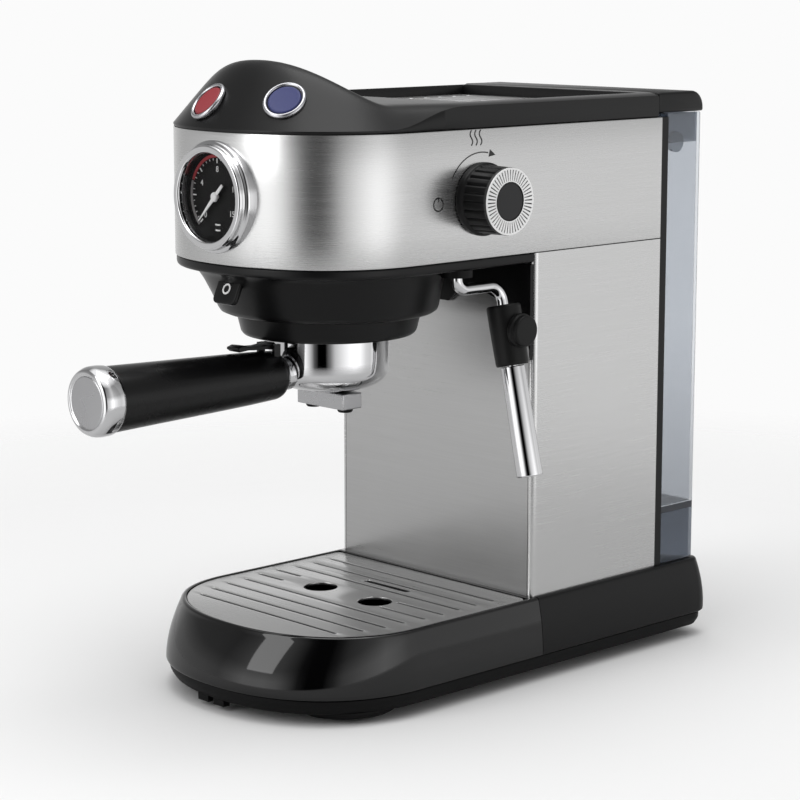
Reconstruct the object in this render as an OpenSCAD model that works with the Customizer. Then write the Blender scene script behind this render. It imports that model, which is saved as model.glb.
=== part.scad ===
// Slim pump espresso machine, built as an assembly of separate parts.
// Units mm. Origin: centre of the base footprint on the table. -Y front, +Z up, +X the steam side.

/* [Overall] */
// Width of the column and head over the steel panels
body_w = 146; // [136:1:176]
// Height of the base top above the table
base_top = 44; // [37:0.5:54]
// Height of the steel column, from base top to head band
col_h = 180; // [150:1:216]
// Height of the steel head band
band_h = 64.5; // [56:0.5:78]
// Depth of the steel column, front to rear
col_d = 97.5; // [84:0.5:118]
// Distance of the column front behind the middle of the footprint
col_front = 8.5; // [0:0.5:20]
// How far the head reaches in front of the column
head_reach = 148.5; // [138:0.5:170]
// Length of the rounded nose of the head
nose_len = 63.5; // [55:0.5:76]
// Roundness exponent of the head nose in plan
nose_n = 2.2; // [2:0.1:3]

/* [Head] */
// Height of the top cover's side wall
rim_h = 13; // [10:0.5:16]
// Height of the tank lid
lid_h = 11; // [9:0.5:14]
// Radius of the lid's rounded rear edge
lid_round = 9; // [4:0.5:9]
// Height of the dome before its edges are blended
dome_h = 48; // [40:1:56]
// Front slope of the dome
dome_k = 1.3; // [1:0.05:1.5]
// Wall thickness of moulded plastic parts
wall = 2.5; // [2:0.1:3]
// Thickness of the steel panels
steel_t = 1.2; // [0.8:0.1:1.6]
// Distance of the group's centre in front of the column
group_y = 75; // [68:0.5:90]
// Radius of the group collar housing
group_r = 47; // [44:0.5:56]
// Height of the group underside below the head band
group_drop = 40.5; // [36:0.5:48]

/* [Base] */
// Height of the lower plate's bottom above the table
plate_z = 5.5; // [4:0.5:8]
// Height of the seam between lower plate and tray
seam_z = 13.5; // [12:0.5:16]
// How far the base side stands out past the column at the seam
base_out = 6.5; // [4:0.5:9]
// How far the base side stands out past the column at its top
top_out = 3; // [2:0.5:5]
// Front overhang of the tray past the head nose at the seam
tray_out = 9; // [5:0.5:14]
// Length of the water tank, front to rear
tank_d = 29; // [24:0.5:35]
// Radius of the tank's upright rear corners
tank_r = 4; // [3:0.5:12]
// Depth of the base behind the tank
tail_d = 8; // [5:0.5:12]
// Thickness of the drip grid
grid_t = 1.6; // [1.2:0.1:2.4]
// Width of the slots in the drip grid
slot_w = 2; // [1.5:0.1:3]
// Pitch of the slots in the drip grid
slot_p = 12.6; // [11:0.1:15]
// Radius of the two drain holes in the grid
drain_r = 9; // [7:0.5:11]
// Radius of the foot pads
pad_r = 10; // [8:0.5:12]

/* [Portafilter] */
// Outer radius of the portafilter body
pf_r = 31; // [29:0.5:36]
// Visible depth of the portafilter body below the group
pf_drop = 26; // [22:0.5:31]
// Length of the black handle
grip_len = 106; // [90:1:127]
// Radius of the handle at its rear end
grip_r = 16; // [13.5:0.5:18]
// Radius of the handle at its inner end
grip_r0 = 12.3; // [11:0.1:14]
// Running clearance of turning parts, radial
fit_c = 0.05; // [0.02:0.01:0.1]
// Gap between separate parts that move past each other
gap = 0.5; // [0.3:0.1:1]

/* [Controls] */
// Radius of the gauge's front ring
gauge_r = 25.5; // [22:0.5:29]
// Protrusion of the gauge in front of the head nose
gauge_out = 6; // [4:0.5:10]
// Radius of the steam knob
knob_r = 17; // [14:0.5:20]
// Protrusion of the steam knob
knob_len = 20; // [16:0.5:24]
// Number of flutes on the steam knob
knob_flutes = 24; // [12:2:36]
// Outer radius of the button rings
ring_r = 11.3; // [9.5:0.1:12.5]
// Radius of the button caps
cap_r = 8.4; // [7:0.1:9.4]
// Press travel of the buttons
cap_travel = 2; // [1:0.5:3]
// Radius of the steam pipe
pipe_r = 3; // [2.5:0.25:3.5]
// Lean of the steam wand from upright, degrees
wand_lean = 12.9; // [8:0.1:16]
// Length of the steam wand's grip
wand_grip_len = 31; // [26:1:37]
// Length of the steam wand's sleeve
wand_sleeve_len = 56.5; // [47:0.5:66]

/* [Hidden] */

hw = body_w / 2;
eps = 0.01;
col_rear = col_front + col_d;
head_z = base_top + col_h;
head_top = head_z + band_h;
cover_top = head_top + rim_h;
nose_y = col_front - head_reach;
nose_c = nose_y + nose_len;
gy = col_front - group_y;
group_z = head_z - group_drop;
tank_y0 = col_rear + 5.5;
tank_y1 = tank_y0 + tank_d;
lid_y0 = col_rear - 2.7;
base_y1 = tank_y1 + tail_d;
tray_y1 = col_front + 2;
pf_z = group_z - pf_drop;
hz = pf_z + 8;
gauge_z = head_z + band_h * 0.51;
gauge_y = nose_y - gauge_out;
knob_y = col_front - 39.3;
knob_z = head_z + 29.9;
wand_x = hw - 10;
wand_y = col_front - 46;
grip_y = col_front - 15;
pipe_z = head_z - 16;

// Plan outline: straight sides, rounded nose toward -Y, cut square at yr
function nose(a, c, f, n, k) = [for (i = [0:k]) let (t = 180 * i / k)
  [a * sign(cos(t)) * pow(abs(cos(t)), 2 / n), c - (c - f) * pow(sin(t), 2 / n)]];
module dplan(a, c, f, yr, n = nose_n, k = 36) {
  polygon(concat(nose(a, c, f, n, k), [[-a, yr], [a, yr]]));
}
// Plan outline with rounded rear corners
module rplan(a, c, f, yr, r, n = nose_n, k = 36) {
  polygon(concat(nose(a, c, f, n, k),
    [for (i = [0:6]) [-a + r - r * cos(i * 15), yr - r + r * sin(i * 15)]],
    [for (i = [6:-1:0]) [a - r + r * cos(i * 15), yr - r + r * sin(i * 15)]]));
}
module slab(z, t) {
  translate([0, 0, z])
    linear_extrude(t)
      children();
}
// Round hose through a list of points
module run(pts, r, fn = 16) {
  resize([0, 0, 0])
    for (i = [0:len(pts) - 2])
      hull() {
        translate(pts[i])
          sphere(r = r, $fn = fn);
        translate(pts[i + 1])
          sphere(r = r, $fn = fn);
      }
}

// ---------- base ----------
module base_plate() color([0.09, 0.09, 0.09]) {
  difference() {
    union() {
      slab(plate_z, seam_z - plate_z - 0.3)
        rplan(hw + base_out - 1.5, nose_c, nose_y - tray_out + 2, base_y1 - 2.5, 11);
    }
    slab(plate_z + wall, seam_z)
      rplan(hw + base_out - 4.5, nose_c, nose_y - tray_out + 5, base_y1 - 5.5, 9);
    for (x = [-1, 1], y = [col_front + 20, base_y1 - 16])
      translate([x * (hw - 12), y, plate_z - 1])
        cylinder(h = 8, r = 2.1, $fn = 24);
  }
  // shallow bosses that carry the feet
  for (x = [-1, 1]) {
    translate([x * 44, nose_c - 20, plate_z - 3.7])
      cylinder(h = 3.7 + eps, r1 = 26, r2 = 28, $fn = 48);
    translate([x * (hw - 22), base_y1 - 32, plate_z - 3.7])
      cylinder(h = 3.7 + eps, r1 = 13, r2 = 14, $fn = 48);
  }
  // rails the tray slides on
  for (x = [-40, 40])
    translate([x - 2, nose_c - 40, plate_z + wall - eps])
      cube([4, 90, seam_z - plate_z - wall - 0.5]);
  // finger tabs under the front edge
  for (x = [-14, -2])
    translate([x, nose_y - tray_out + 5, plate_z - 3])
      cube([8, 4, 3 + eps]);
}
module foot_pads() color([0.06, 0.06, 0.06]) {
  for (x = [-1, 1]) {
    translate([x * 44, nose_c - 20, 0])
      cylinder(h = plate_z - 3.7, r = pad_r, $fn = 48);
    translate([x * (hw - 22), base_y1 - 32, 0])
      cylinder(h = plate_z - 3.7, r = pad_r, $fn = 48);
  }
}
module base_screws() color([0.6, 0.6, 0.62]) {
  for (x = [-1, 1], y = [col_front + 20, base_y1 - 16])
    translate([x * (hw - 12), y, 0])
      union() {
        translate([0, 0, plate_z - 1.6])
          cylinder(h = 1.6, r = 3.4, $fn = 24);
        translate([0, 0, plate_z - 0.1])
          cylinder(h = 10, r = 2.05, $fn = 24);
      }
}
module base_housing() color([0.12, 0.12, 0.12]) {
  difference() {
    union() {
      difference() {
        hull() {
          slab(seam_z, 1) rear_plan(base_out, 0, 0, 12);
          slab(seam_z + 5, 1) rear_plan(base_out, 0, 0, 12);
          slab(seam_z + 18, 1) rear_plan(base_out - 1.4, 3, 0, 9.5);
          slab(base_top - 1, 1) rear_plan(top_out, 6, 0, 6.5);
        }
        hull() {
          slab(seam_z - 1, 1) rear_plan(base_out - wall, wall, wall, 9.5);
          slab(seam_z + 5, 1) rear_plan(base_out - wall, wall, wall, 9.5);
          slab(base_top - wall - 1, 1) rear_plan(top_out - wall, 6 + wall, wall, 4);
        }
      }
      // round boss that the cord gland clips into
      translate([-hw + 26, base_y1 - 9.9, base_top - 14])
        rotate([-90, 0, 0])
          cylinder(h = 6.3, r = 10.5, $fn = 48);
    }
    // opening up into the column
    translate([-hw + 8, col_front + 10, base_top - 5])
      cube([body_w - 16, col_d - 24, 10]);
    // spigot hole for the tank seat
    translate([0, (tank_y0 + tank_y1) / 2, base_top - 5])
      cylinder(h = 10, r = 11, $fn = 48);
    // cord gland hole
    translate([-hw + 26, base_y1 - 14, base_top - 14])
      rotate([-90, 0, 0])
        cylinder(h = 30, r = 6, $fn = 40);
    translate([-hw + 26, base_y1 - 3.6, base_top - 14])
      rotate([-90, 0, 0])
        cylinder(h = 12, r = 9.15, $fn = 40);
  }
  // screw pillars
  for (x = [-1, 1], y = [col_front + 20, base_y1 - 16])
    translate([x * (hw - 12), y, seam_z - 4])
      difference() {
        cylinder(h = base_top - wall - seam_z + 4 + eps, r = 5, $fn = 32);
        translate([0, 0, -1])
          cylinder(h = 12, r = 2.05, $fn = 24);
      }
}
module rear_plan(o, dy, di, r) {
  a = hw + o;
  y0 = tray_y1 + 0.4 + di;
  y1 = base_y1 - dy;
  polygon(concat([[a, y0], [-a, y0]],
    [for (i = [0:6]) [-a + r - r * cos(i * 15), y1 - r + r * sin(i * 15)]],
    [for (i = [6:-1:0]) [a - r + r * cos(i * 15), y1 - r + r * sin(i * 15)]]));
}
module cord_gland() color([0.07, 0.07, 0.07]) {
  translate([-hw + 26, 0, base_top - 14])
    rotate([-90, 0, 0])
      difference() {
        union() {
          translate([0, 0, base_y1 - 13])
            cylinder(h = 9.5, r = 6 - fit_c, $fn = 40);
          translate([0, 0, base_y1 - 3.5])
            cylinder(h = 3.4, r = 9, $fn = 40);
          translate([0, 0, base_y1 - 13])
            cylinder(h = 3, r = 8, $fn = 40);
        }
        translate([0, 0, base_y1 - 14])
          cylinder(h = 20, r = 3.6, $fn = 40);
      }
}

// ---------- drip tray ----------
module drip_tray() color([0.03, 0.03, 0.03]) {
  difference() {
    hull() {
      slab(seam_z + 0.3, 1) dplan(hw + base_out, nose_c, nose_y - tray_out, tray_y1);
      slab(seam_z + 6, 1) dplan(hw + base_out, nose_c, nose_y - tray_out, tray_y1);
      slab(seam_z + 18, 1)
        dplan(hw + base_out - 1.2, nose_c, nose_y - tray_out + 3.2, tray_y1);
      slab(base_top - 4, 1)
        dplan(hw + top_out + 0.4, nose_c, nose_y - tray_out + 9, tray_y1);
      slab(base_top - 1, 1)
        dplan(hw + top_out, nose_c, nose_y - tray_out + 11, tray_y1);
    }
    hull() {
      slab(seam_z + 0.3 + wall, 1)
        dplan(hw + base_out - wall, nose_c, nose_y - tray_out + wall, tray_y1 - 3);
      slab(seam_z + 18, 1)
        dplan(hw + base_out - 1.2 - wall, nose_c, nose_y - tray_out + 3.2 + wall, tray_y1 - 3);
      slab(base_top - 6, 1)
        dplan(hw + top_out + 0.4 - wall, nose_c, nose_y - tray_out + 9 + wall, tray_y1 - 3);
    }
    // mouth and the ledge the grid rests on
    slab(base_top - 6, 10)
      dplan(hw - 4, nose_c, nose_y - tray_out + 15.5, tray_y1 - 8);
    slab(base_top - grid_t - 0.4, 5)
      dplan(hw, nose_c, nose_y - tray_out + 13.5, tray_y1 - 4.6);
  }
}
module drip_grid() color([0.75, 0.75, 0.75]) {
  gf = nose_y - tray_out + 14;
  gr = tray_y1 - 5;
  difference() {
    slab(base_top - grid_t - 0.4, grid_t)
      rplan(hw - 0.5, nose_c, gf, gr, 5);
    // full width slots behind the drain holes
    for (i = [0:2])
      slot(-(hw - 11), hw - 11, col_front - 18 - i * slot_p);
    // short slots beside the drain holes
    for (i = [3:4]) {
      slot(-(hw - 9), -(hw - 27), col_front - 18 - i * slot_p);
      slot(hw - 42, hw - 10, col_front - 18 - i * slot_p);
    }
    // slots in front, each shorter than the last
    for (i = [5:8])
      let (y = col_front - 18 - i * slot_p,
           w = (hw - 12) * pow(max(0, 1 - pow(max(0, nose_c - y) / (nose_c - gf), 2.2)), 0.4545))
        slot(-w, w, y);
    // finger slot for lifting the grid
    slot(-13, 17, col_front - 36.5, 4);
    for (x = [-1, 1])
      translate([x * 21, col_front - 63, base_top - 10])
        cylinder(h = 20, r = drain_r, $fn = 64);
  }
}
module slot(x0, x1, y, w = slot_w) {
  slab(base_top - 10, 20)
    union() {
      translate([x0, y - w / 2])
        square([x1 - x0, w]);
      translate([x0, y])
        circle(d = w, $fn = 16);
      translate([x1, y])
        circle(d = w, $fn = 16);
    }
}

// ---------- column ----------
module chassis() color([0.62, 0.63, 0.65]) {
  // floor tray, two posts, cross shelf and the beam that carries the head
  translate([-hw + 12, col_front + 12, base_top])
    difference() {
      cube([body_w - 24, col_d - 28, 2]);
      translate([15, 24, -1])
        cylinder(h = 4, r = 6, $fn = 32);
    }
  for (x = [-1, 1])
    translate([x * (hw - 8) - 1, col_front + 14, base_top])
      cube([2, 14, col_h + band_h - 20]);
  for (x = [-1, 1])
    translate([x * (hw - 11) - 4, col_front + 14, base_top])
      cube([8, 14, 2]);
  translate([-hw + 7, col_front + 14, head_z + 6])
    cube([body_w - 14, 14, 2]);
  for (x = [-1, 1])
    translate([x * 37.5 - 1.5, nose_c - 20, head_z + 6])
      cube([3, col_front + 20 - nose_c + 20, 12]);
}
module front_panel() color([0.72, 0.72, 0.72]) {
  translate([-hw + 3.6, col_front, base_top])
    cube([body_w - 7.2, steel_t, col_h - 0.2]);
  // returns at the top and the foot
  translate([-hw + 6, col_front + steel_t - eps, base_top])
    cube([body_w - 12, 8, steel_t]);
}
module side_section() {
  r = 3;
  difference() {
    union() {
      translate([hw - r, col_front + r])
        circle(r = r, $fn = 48);
      translate([hw - r, col_front + r])
        square([r, col_d - r]);
    }
    translate([hw - r, col_front + r])
      circle(r = r - steel_t, $fn = 48);
    translate([hw - 3 * r, col_front - 1])
      square([2 * r - 0.3, col_d]);
    translate([hw - r - 1, col_front + r])
      square([r - steel_t + 1, col_d]);
  }
}
module side_panel_right() color([0.76, 0.76, 0.76]) {
  slab(base_top, col_h - 0.2)
    side_section();
}
module side_panel_left() color([0.76, 0.76, 0.76]) {
  mirror([1, 0, 0])
    slab(base_top, col_h - 0.2)
      side_section();
}
module rear_cover() color([0.08, 0.08, 0.08]) {
  difference() {
    translate([-hw, col_rear + 0.1, base_top])
      cube([body_w, 5, head_top - base_top - 0.2]);
    // recess that the tank backs onto
    translate([-hw + 4, col_rear + 0.1 + wall, base_top + 6])
      cube([body_w - 8, 5, head_top - base_top]);
    // the tank outlet tube passes here
    translate([0, col_rear, base_top + 12])
      rotate([-90, 0, 0])
        cylinder(h = 10, r = 5, $fn = 32);
  }
}
module head_bracket() color([0.1, 0.1, 0.1]) {
  // shroud on the column front under the head, deeper at the steam side
  translate([0, col_front - 0.1, 0])
    rotate([90, 0, 0])
      linear_extrude(2)
        polygon(concat([[hw - 1, head_z - 6.2], [-hw + 1, head_z - 6.2], [-hw + 1, head_z - 30],
          [hw - 60, head_z - 30]],
          [for (i = [0:10]) [hw - 50 + 49 * sin(i * 9), head_z - 47 - 8 + 34 * cos(i * 9)]]));
}

// ---------- head ----------
module band_ring(z, t, a, f) {
  slab(z, t)
    difference() {
      dplan(a, nose_c, f, col_rear);
      dplan(a - steel_t, nose_c, f + steel_t, col_rear + 1);
    }
}
module head_band() color([0.78, 0.78, 0.78]) {
  difference() {
    band_ring(head_z, band_h, hw, nose_y);
    translate([0, gauge_y, gauge_z])
      rotate([-90, 0, 0])
        cylinder(h = 40, r = gauge_r + 2.3, $fn = 96);
    translate([hw - 6, knob_y, knob_z])
      rotate([0, 90, 0])
        cylinder(h = 10, r = 5.5, $fn = 40);
  }
}
// Height of the cover over its lower edge: front slope blended into the crest line
function sstep(v) = let (s = max(0, min(1, v))) s * s * (3 - 2 * s);
function rho(x, y, a, f) = 1 - pow(pow(min(1, abs(x) / a), nose_n)
  + pow(max(0, min(1, (nose_c - y) / (nose_c - f))), nose_n), 1 / nose_n);
function crest(y) = rim_h + (dome_h - rim_h) * (y < nose_y + 10.3 ? 1 :
  (1 + cos(180 * min(1, (y - nose_y - 10.3) / 50))) / 2);
function skin(x, y, a, f) =
  let (s = 1.5 + (rim_h - 1.5) * sstep((y - nose_c + 14) / 50),
       u = s + dome_k * nose_len * max(0, rho(x, y, a, f)), c = crest(y))
  pow(pow(u, -5.3) + pow(c, -5.3), -1 / 5.3);
function halfw(y, a, f) = y >= nose_c ? a :
  a * pow(max(0, 1 - pow((nose_c - y) / (nose_c - f), nose_n)), 1 / nose_n);
module dome(a, f, yr, z0, dz, ni = 26, nj = 20) {
  ys = concat([for (i = [0:ni - 1]) f + 0.04 + (nose_c + 45 - f) * pow(i / ni, 1.6)],
    [nose_c + 45, yr]);
  m = len(ys);
  top = [for (i = [0:m - 1], j = [0:nj]) let (w = halfw(ys[i], a, f),
    s = sin(90 * (2 * j / nj - 1)), x = w * s)
    [x, ys[i], max(z0 + 0.3, head_top + skin(x * 0.9999, ys[i], a, f) + dz)]];
  bot = [for (i = [0:m - 1], j = [0, nj]) let (w = halfw(ys[i], a, f))
    [(j == 0 ? -w : w), ys[i], z0]];
  n = nj + 1;
  t0 = m * n;
  polyhedron(points = concat(top, bot), convexity = 6, faces = concat(
    [for (i = [0:m - 2], j = [0:nj - 1]) [i * n + j, (i + 1) * n + j, (i + 1) * n + j + 1]],
    [for (i = [0:m - 2], j = [0:nj - 1]) [i * n + j, (i + 1) * n + j + 1, i * n + j + 1]],
    [for (i = [0:m - 2]) [i * n, t0 + 2 * i, t0 + 2 * i + 2, (i + 1) * n]],
    [for (i = [0:m - 2]) [i * n + nj, (i + 1) * n + nj, t0 + 2 * i + 3, t0 + 2 * i + 1]],
    [for (i = [0:m - 2]) [t0 + 2 * i, t0 + 2 * i + 1, t0 + 2 * i + 3, t0 + 2 * i + 2]],
    [concat([for (j = [0:nj]) j], [t0 + 1, t0])],
    [concat([for (j = [nj:-1:0]) (m - 1) * n + j], [t0 + 2 * (m - 1), t0 + 2 * (m - 1) + 1])]));
}
// Button seats: centre point and outward direction as azimuth, elevation
red_p = [-16, nose_y + 9.6, head_top + 13.4];
red_a = [-11, 41];
blue_p = [32, nose_y + 17.2, head_top + 15.3];
blue_a = [27, 43];
module at_button(p, a) {
  translate(p)
    rotate([0, 0, a[0]])
      rotate([90 - a[1], 0, 0])
        children();
}
module top_cover() color([0.07, 0.07, 0.07]) resize([0, 0, 0]) {
  difference() {
    union() {
      difference() {
        dome(hw, nose_y, lid_y0 - 0.3, head_top, 0);
        dome(hw - wall, nose_y + wall, lid_y0 - 0.3 - wall, head_top - 1, -wall);
      }
      intersection() {
        dome(hw, nose_y, lid_y0 - 0.3, head_top, 0);
        translate([-hw + 6.5, nose_c + 38, head_top + 3])
          cube([body_w - 13, lid_y0 - nose_c - 45, 20]);
      }
    }
    // recess for the cup grille
    translate([-hw + 9, nose_c + 40.5, head_top + 6])
      cube([body_w - 18, lid_y0 - nose_c - 50, 30]);
    for (b = [[red_p, red_a], [blue_p, blue_a]])
      at_button(b[0], b[1])
        union() {
          translate([0, 0, -8])
            cylinder(h = 20, r = ring_r - 1.5, $fn = 64);
          translate([0, 0, -0.5])
            cylinder(h = 12, r = ring_r + 0.1, $fn = 64);
        }
  }
}
module cup_grille() color([0.8, 0.8, 0.8]) {
  y0 = nose_c + 41;
  y1 = lid_y0 - 10;
  difference() {
    translate([-hw + 9.5, y0, head_top + 6])
      cube([body_w - 19, y1 - y0, 1.5]);
    for (i = [0:10], s = [-1, 1])
      translate([s * 30 - 22, y0 + 9 + i * (y1 - y0 - 18) / 10 - 1.5, head_top])
        cube([44, 3, 20]);
  }
}
module group_housing() color([0.1, 0.1, 0.1]) {
  difference() {
    union() {
      // lip that follows the head outline
      slab(head_z - 5, 4.9)
        dplan(hw - 0.6, nose_c, nose_y + 0.6, col_front - 0.2);
      // bowl that draws in to the round group
      hull() {
        slab(head_z - 6, 1.5) bowl_plan(0);
        slab(head_z - 14, 1) bowl_plan(0.3);
        slab(head_z - 23, 1) bowl_plan(0.7);
        slab(head_z - 28.5, 1) bowl_plan(1);
        slab(head_z - 30, 0.5)
          translate([0, gy])
            circle(r = group_r + 6.5, $fn = 48);
      }
      translate([0, gy, group_z])
        cylinder(h = group_drop - 28, r1 = group_r - 2.5, r2 = group_r, $fn = 96);
    }
    hull() {
      slab(head_z - 6, 7) bowl_in(0);
      slab(head_z - 26, 1) bowl_in(1);
    }
    translate([0, gy, group_z - 1])
      cylinder(h = group_drop, r = group_r - 5, $fn = 96);
    // hole for the steam pipe
    translate([wand_x, wand_y, head_z - 10])
      cylinder(h = 20, r = 7.05, $fn = 40);
    translate([wand_x, wand_y, head_z - 14])
      cylinder(h = 8.8, r = 8.15, $fn = 40);
    // pocket for the lock mark pad
    translate([0, gy - bowl_f(0.3) - 0.5, head_z - 13])
      rotate([90 - 24, 0, 0])
        translate([-8.55, -7.55, -1.55])
          cube([17.1, 15.1, 6]);
  }
}
function bowl_a(t) = (hw - 9) * (1 - t) + (group_r + 9) * t;
function bowl_f(t) = (gy - nose_y - 4) * (1 - t) + (group_r + 9) * t;
module bowl_plan(t) {
  k = 24;
  a = bowl_a(t);
  f = bowl_f(t);
  polygon([for (i = [0:2 * k - 1]) let (w = 180 * i / k)
    [a * cos(w), gy + (sin(w) < 0 ? f : group_r + 9) * sin(w)]]);
}
module bowl_in(t) {
  k = 24;
  a = bowl_a(t) - 3;
  f = bowl_f(t) - 3;
  polygon([for (i = [0:2 * k - 1]) let (w = 180 * i / k)
    [a * cos(w), gy + (sin(w) < 0 ? f : group_r + 6) * sin(w)]]);
}
module lock_mark() color([0.13, 0.13, 0.13]) {
  // raised pad at the front that marks the locked handle position
  translate([0, gy - bowl_f(0.3) - 0.5, head_z - 13])
    rotate([90 - 24, 0, 0])
      difference() {
        union() {
          translate([-8.5, -7.5, -1.5])
            cube([17, 15, 2.6]);
          cylinder(h = 1.8, r = 3.2, $fn = 40);
        }
        translate([0, 0, 1.2])
          cylinder(h = 2, r = 1.9, $fn = 32);
      }
}
module group_collar() color([0.7, 0.7, 0.72]) {
  translate([0, gy, group_z + 1])
    difference() {
      cylinder(h = 27, r = group_r - 5.5, $fn = 96);
      translate([0, 0, -1])
        cylinder(h = 23, r = pf_r + 1, $fn = 96);
      // chamber the lugs turn in
      translate([0, 0, 7])
        cylinder(h = 6.6, r = pf_r + 6, $fn = 96);
      // entry slots for the two lugs, an eighth turn from locked
      for (s = [0, 180])
        rotate([0, 0, s - 45])
          translate([pf_r - 4, -13, -1])
            cube([9.8, 26, 9]);
      translate([0, 0, -1])
        cylinder(h = 40, r = 4, $fn = 32);
    }
}
module group_gasket() color([0.5, 0.12, 0.08]) {
  translate([0, gy, group_z + 20])
    difference() {
      cylinder(h = 3 - eps, r = pf_r + 1 - fit_c, $fn = 96);
      translate([0, 0, -1])
        cylinder(h = 6, r = pf_r - 5, $fn = 96);
    }
}
module shower_screen() color([0.78, 0.78, 0.8]) {
  translate([0, gy, group_z + 20.4])
    difference() {
      cylinder(h = 1.4, r = pf_r - 5.3, $fn = 96);
      translate([0, 0, -1])
        cylinder(h = 4, r = 2.6, $fn = 24);
      for (k = [1:3], i = [0:8 * k - 1])
        rotate([0, 0, i * 45 / k])
          translate([k * 7, 0, -1])
            cylinder(h = 4, r = 1, $fn = 16);
    }
}
module shower_screw() color([0.7, 0.7, 0.72]) {
  translate([0, gy, group_z + 18.9])
    union() {
      cylinder(h = 1.5, r = 4.5, $fn = 32);
      cylinder(h = 9, r = 2.5, $fn = 24);
    }
}
module thermoblock() color([0.66, 0.67, 0.68]) {
  translate([0, gy, head_z - 12.4])
    union() {
      difference() {
        cylinder(h = 24, r = 22, $fn = 64);
        translate([0, 0, -1])
          cylinder(h = 6, r = 5, $fn = 32);
      }
      translate([-34, -26, 22])
        cube([68, 52, 22]);
      for (i = [0:5])
        translate([-34 + i * 12.8, -26, 43])
          cube([4, 52, 6]);
      translate([14, 20, 44])
        cylinder(h = 8, r = 5, $fn = 32);
      translate([-8, 20, 44])
        cylinder(h = 8, r = 5, $fn = 32);
    }
}
module pump() color([0.15, 0.15, 0.17]) {
  translate([0, col_front + 52, base_top + 30]) {
    translate([-22, -18, -17])
      cube([44, 36, 34]);
    rotate([0, 90, 0])
      translate([0, 0, -46])
        cylinder(h = 92, r = 9, $fn = 48);
  }
}
module pump_mounts() color([0.08, 0.08, 0.08]) {
  for (x = [-1, 1])
    translate([x * 36 - 4, col_front + 52, base_top + 30])
      difference() {
        translate([0, -14, -28])
          cube([8, 28, 42]);
        rotate([0, 90, 0])
          translate([0, 0, -1])
            cylinder(h = 10, r = 9, $fn = 48);
      }
}
module solenoid_valve() color([0.7, 0.6, 0.3]) {
  translate([-15, col_front + 34, base_top + 92])
    cube([30, 28, 34]);
  translate([0, col_front + 48, base_top + 125])
    cylinder(h = 12, r = 6, $fn = 32);
  translate([0, col_front + 48, base_top + 82])
    cylinder(h = 11, r = 5, $fn = 32);
  // bracket to the chassis posts
  translate([-hw + 9, col_front + 24, base_top + 100])
    cube([body_w - 18, 1.5, 16]);
  translate([-10, col_front + 25, base_top + 102])
    cube([20, 10, 3]);
}
module steam_valve() color([0.75, 0.65, 0.35]) {
  translate([0, knob_y, knob_z])
    rotate([0, 90, 0])
      difference() {
        union() {
          translate([0, 0, hw - 34])
            cylinder(h = 32.6, r = 9, $fn = 48);
          translate([0, 0, hw - 12])
            cylinder(h = 6, r = 12, $fn = 48);
        }
        translate([0, 0, hw - 20])
          cylinder(h = 30, r = 3 + fit_c, $fn = 32);
      }
}
module inlet_hose() color([0.82, 0.84, 0.86]) {
  y = (tank_y0 + tank_y1) / 2;
  run([[0, y, base_top - 13.5], [0, y, base_top - 16], [0, y - 30, base_top - 22],
    [0, col_front + 60, base_top - 22], [-hw + 27, col_front + 36, base_top - 22],
    [-hw + 27, col_front + 36, base_top + 9], [-hw + 20, col_front + 52, base_top + 18],
    [-hw + 20, col_front + 52, base_top + 30], [-47, col_front + 52, base_top + 30]], 3.5);
}
module brew_hose() color([0.82, 0.84, 0.86]) {
  run([[47, col_front + 52, base_top + 30], [hw - 18, col_front + 52, base_top + 34],
    [hw - 18, col_front + 56, base_top + 60], [0, col_front + 48, base_top + 76],
    [0, col_front + 48, base_top + 81.5]], 3.5);
  run([[0, col_front + 48, base_top + 141], [0, col_front + 48, head_z + 30],
    [0, col_front - 20, head_z + 46], [-8, gy + 20, head_z + 46],
    [-8, gy + 20, head_z + 40]], 3.5);
}
module steam_hose() color([0.86, 0.86, 0.84]) {
  run([[14, gy + 20, head_z + 40], [14, gy + 20, head_z + 47], [hw - 30, gy + 28, head_z + 47],
    [hw - 30, knob_y, head_z + 47], [hw - 30, knob_y, knob_z + 9.5]], 3);
  run([[hw - 22, knob_y, knob_z - 9.5], [hw - 22, knob_y, knob_z - 16],
    [wand_x, wand_y, head_z + 8], [wand_x, wand_y, head_z + 3.05]], 3);
}
module control_board() color([0.1, 0.35, 0.2]) {
  translate([-hw + 9.2, col_front + 34, head_z - 70])
    union() {
      cube([1.6, 50, 62]);
      translate([1.5, 6, 8])
        cube([14, 18, 16]);
      translate([1.5, 32, 8])
        cube([10, 12, 20]);
      translate([1.5, 8, 36])
        cube([8, 30, 10]);
    }
}
module tank_seat() color([0.1, 0.1, 0.1]) {
  translate([0, (tank_y0 + tank_y1) / 2, base_top])
    difference() {
      union() {
        translate([0, 0, -10])
          cylinder(h = 17, r = 11 - fit_c, $fn = 48);
        cylinder(h = 1, r = 12.2, $fn = 48);
      }
      translate([0, 0, -6])
        cylinder(h = 14, r = 8.2, $fn = 48);
      translate([0, 0, -20])
        cylinder(h = 30, r = 3.5, $fn = 32);
    }
  translate([-1.5, (tank_y0 + tank_y1) / 2 - 8, base_top - 8])
    cube([3, 16, 3]);
  translate([0, (tank_y0 + tank_y1) / 2, base_top - 8])
    cylinder(h = 11, r = 1.5, $fn = 24);
}

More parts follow.
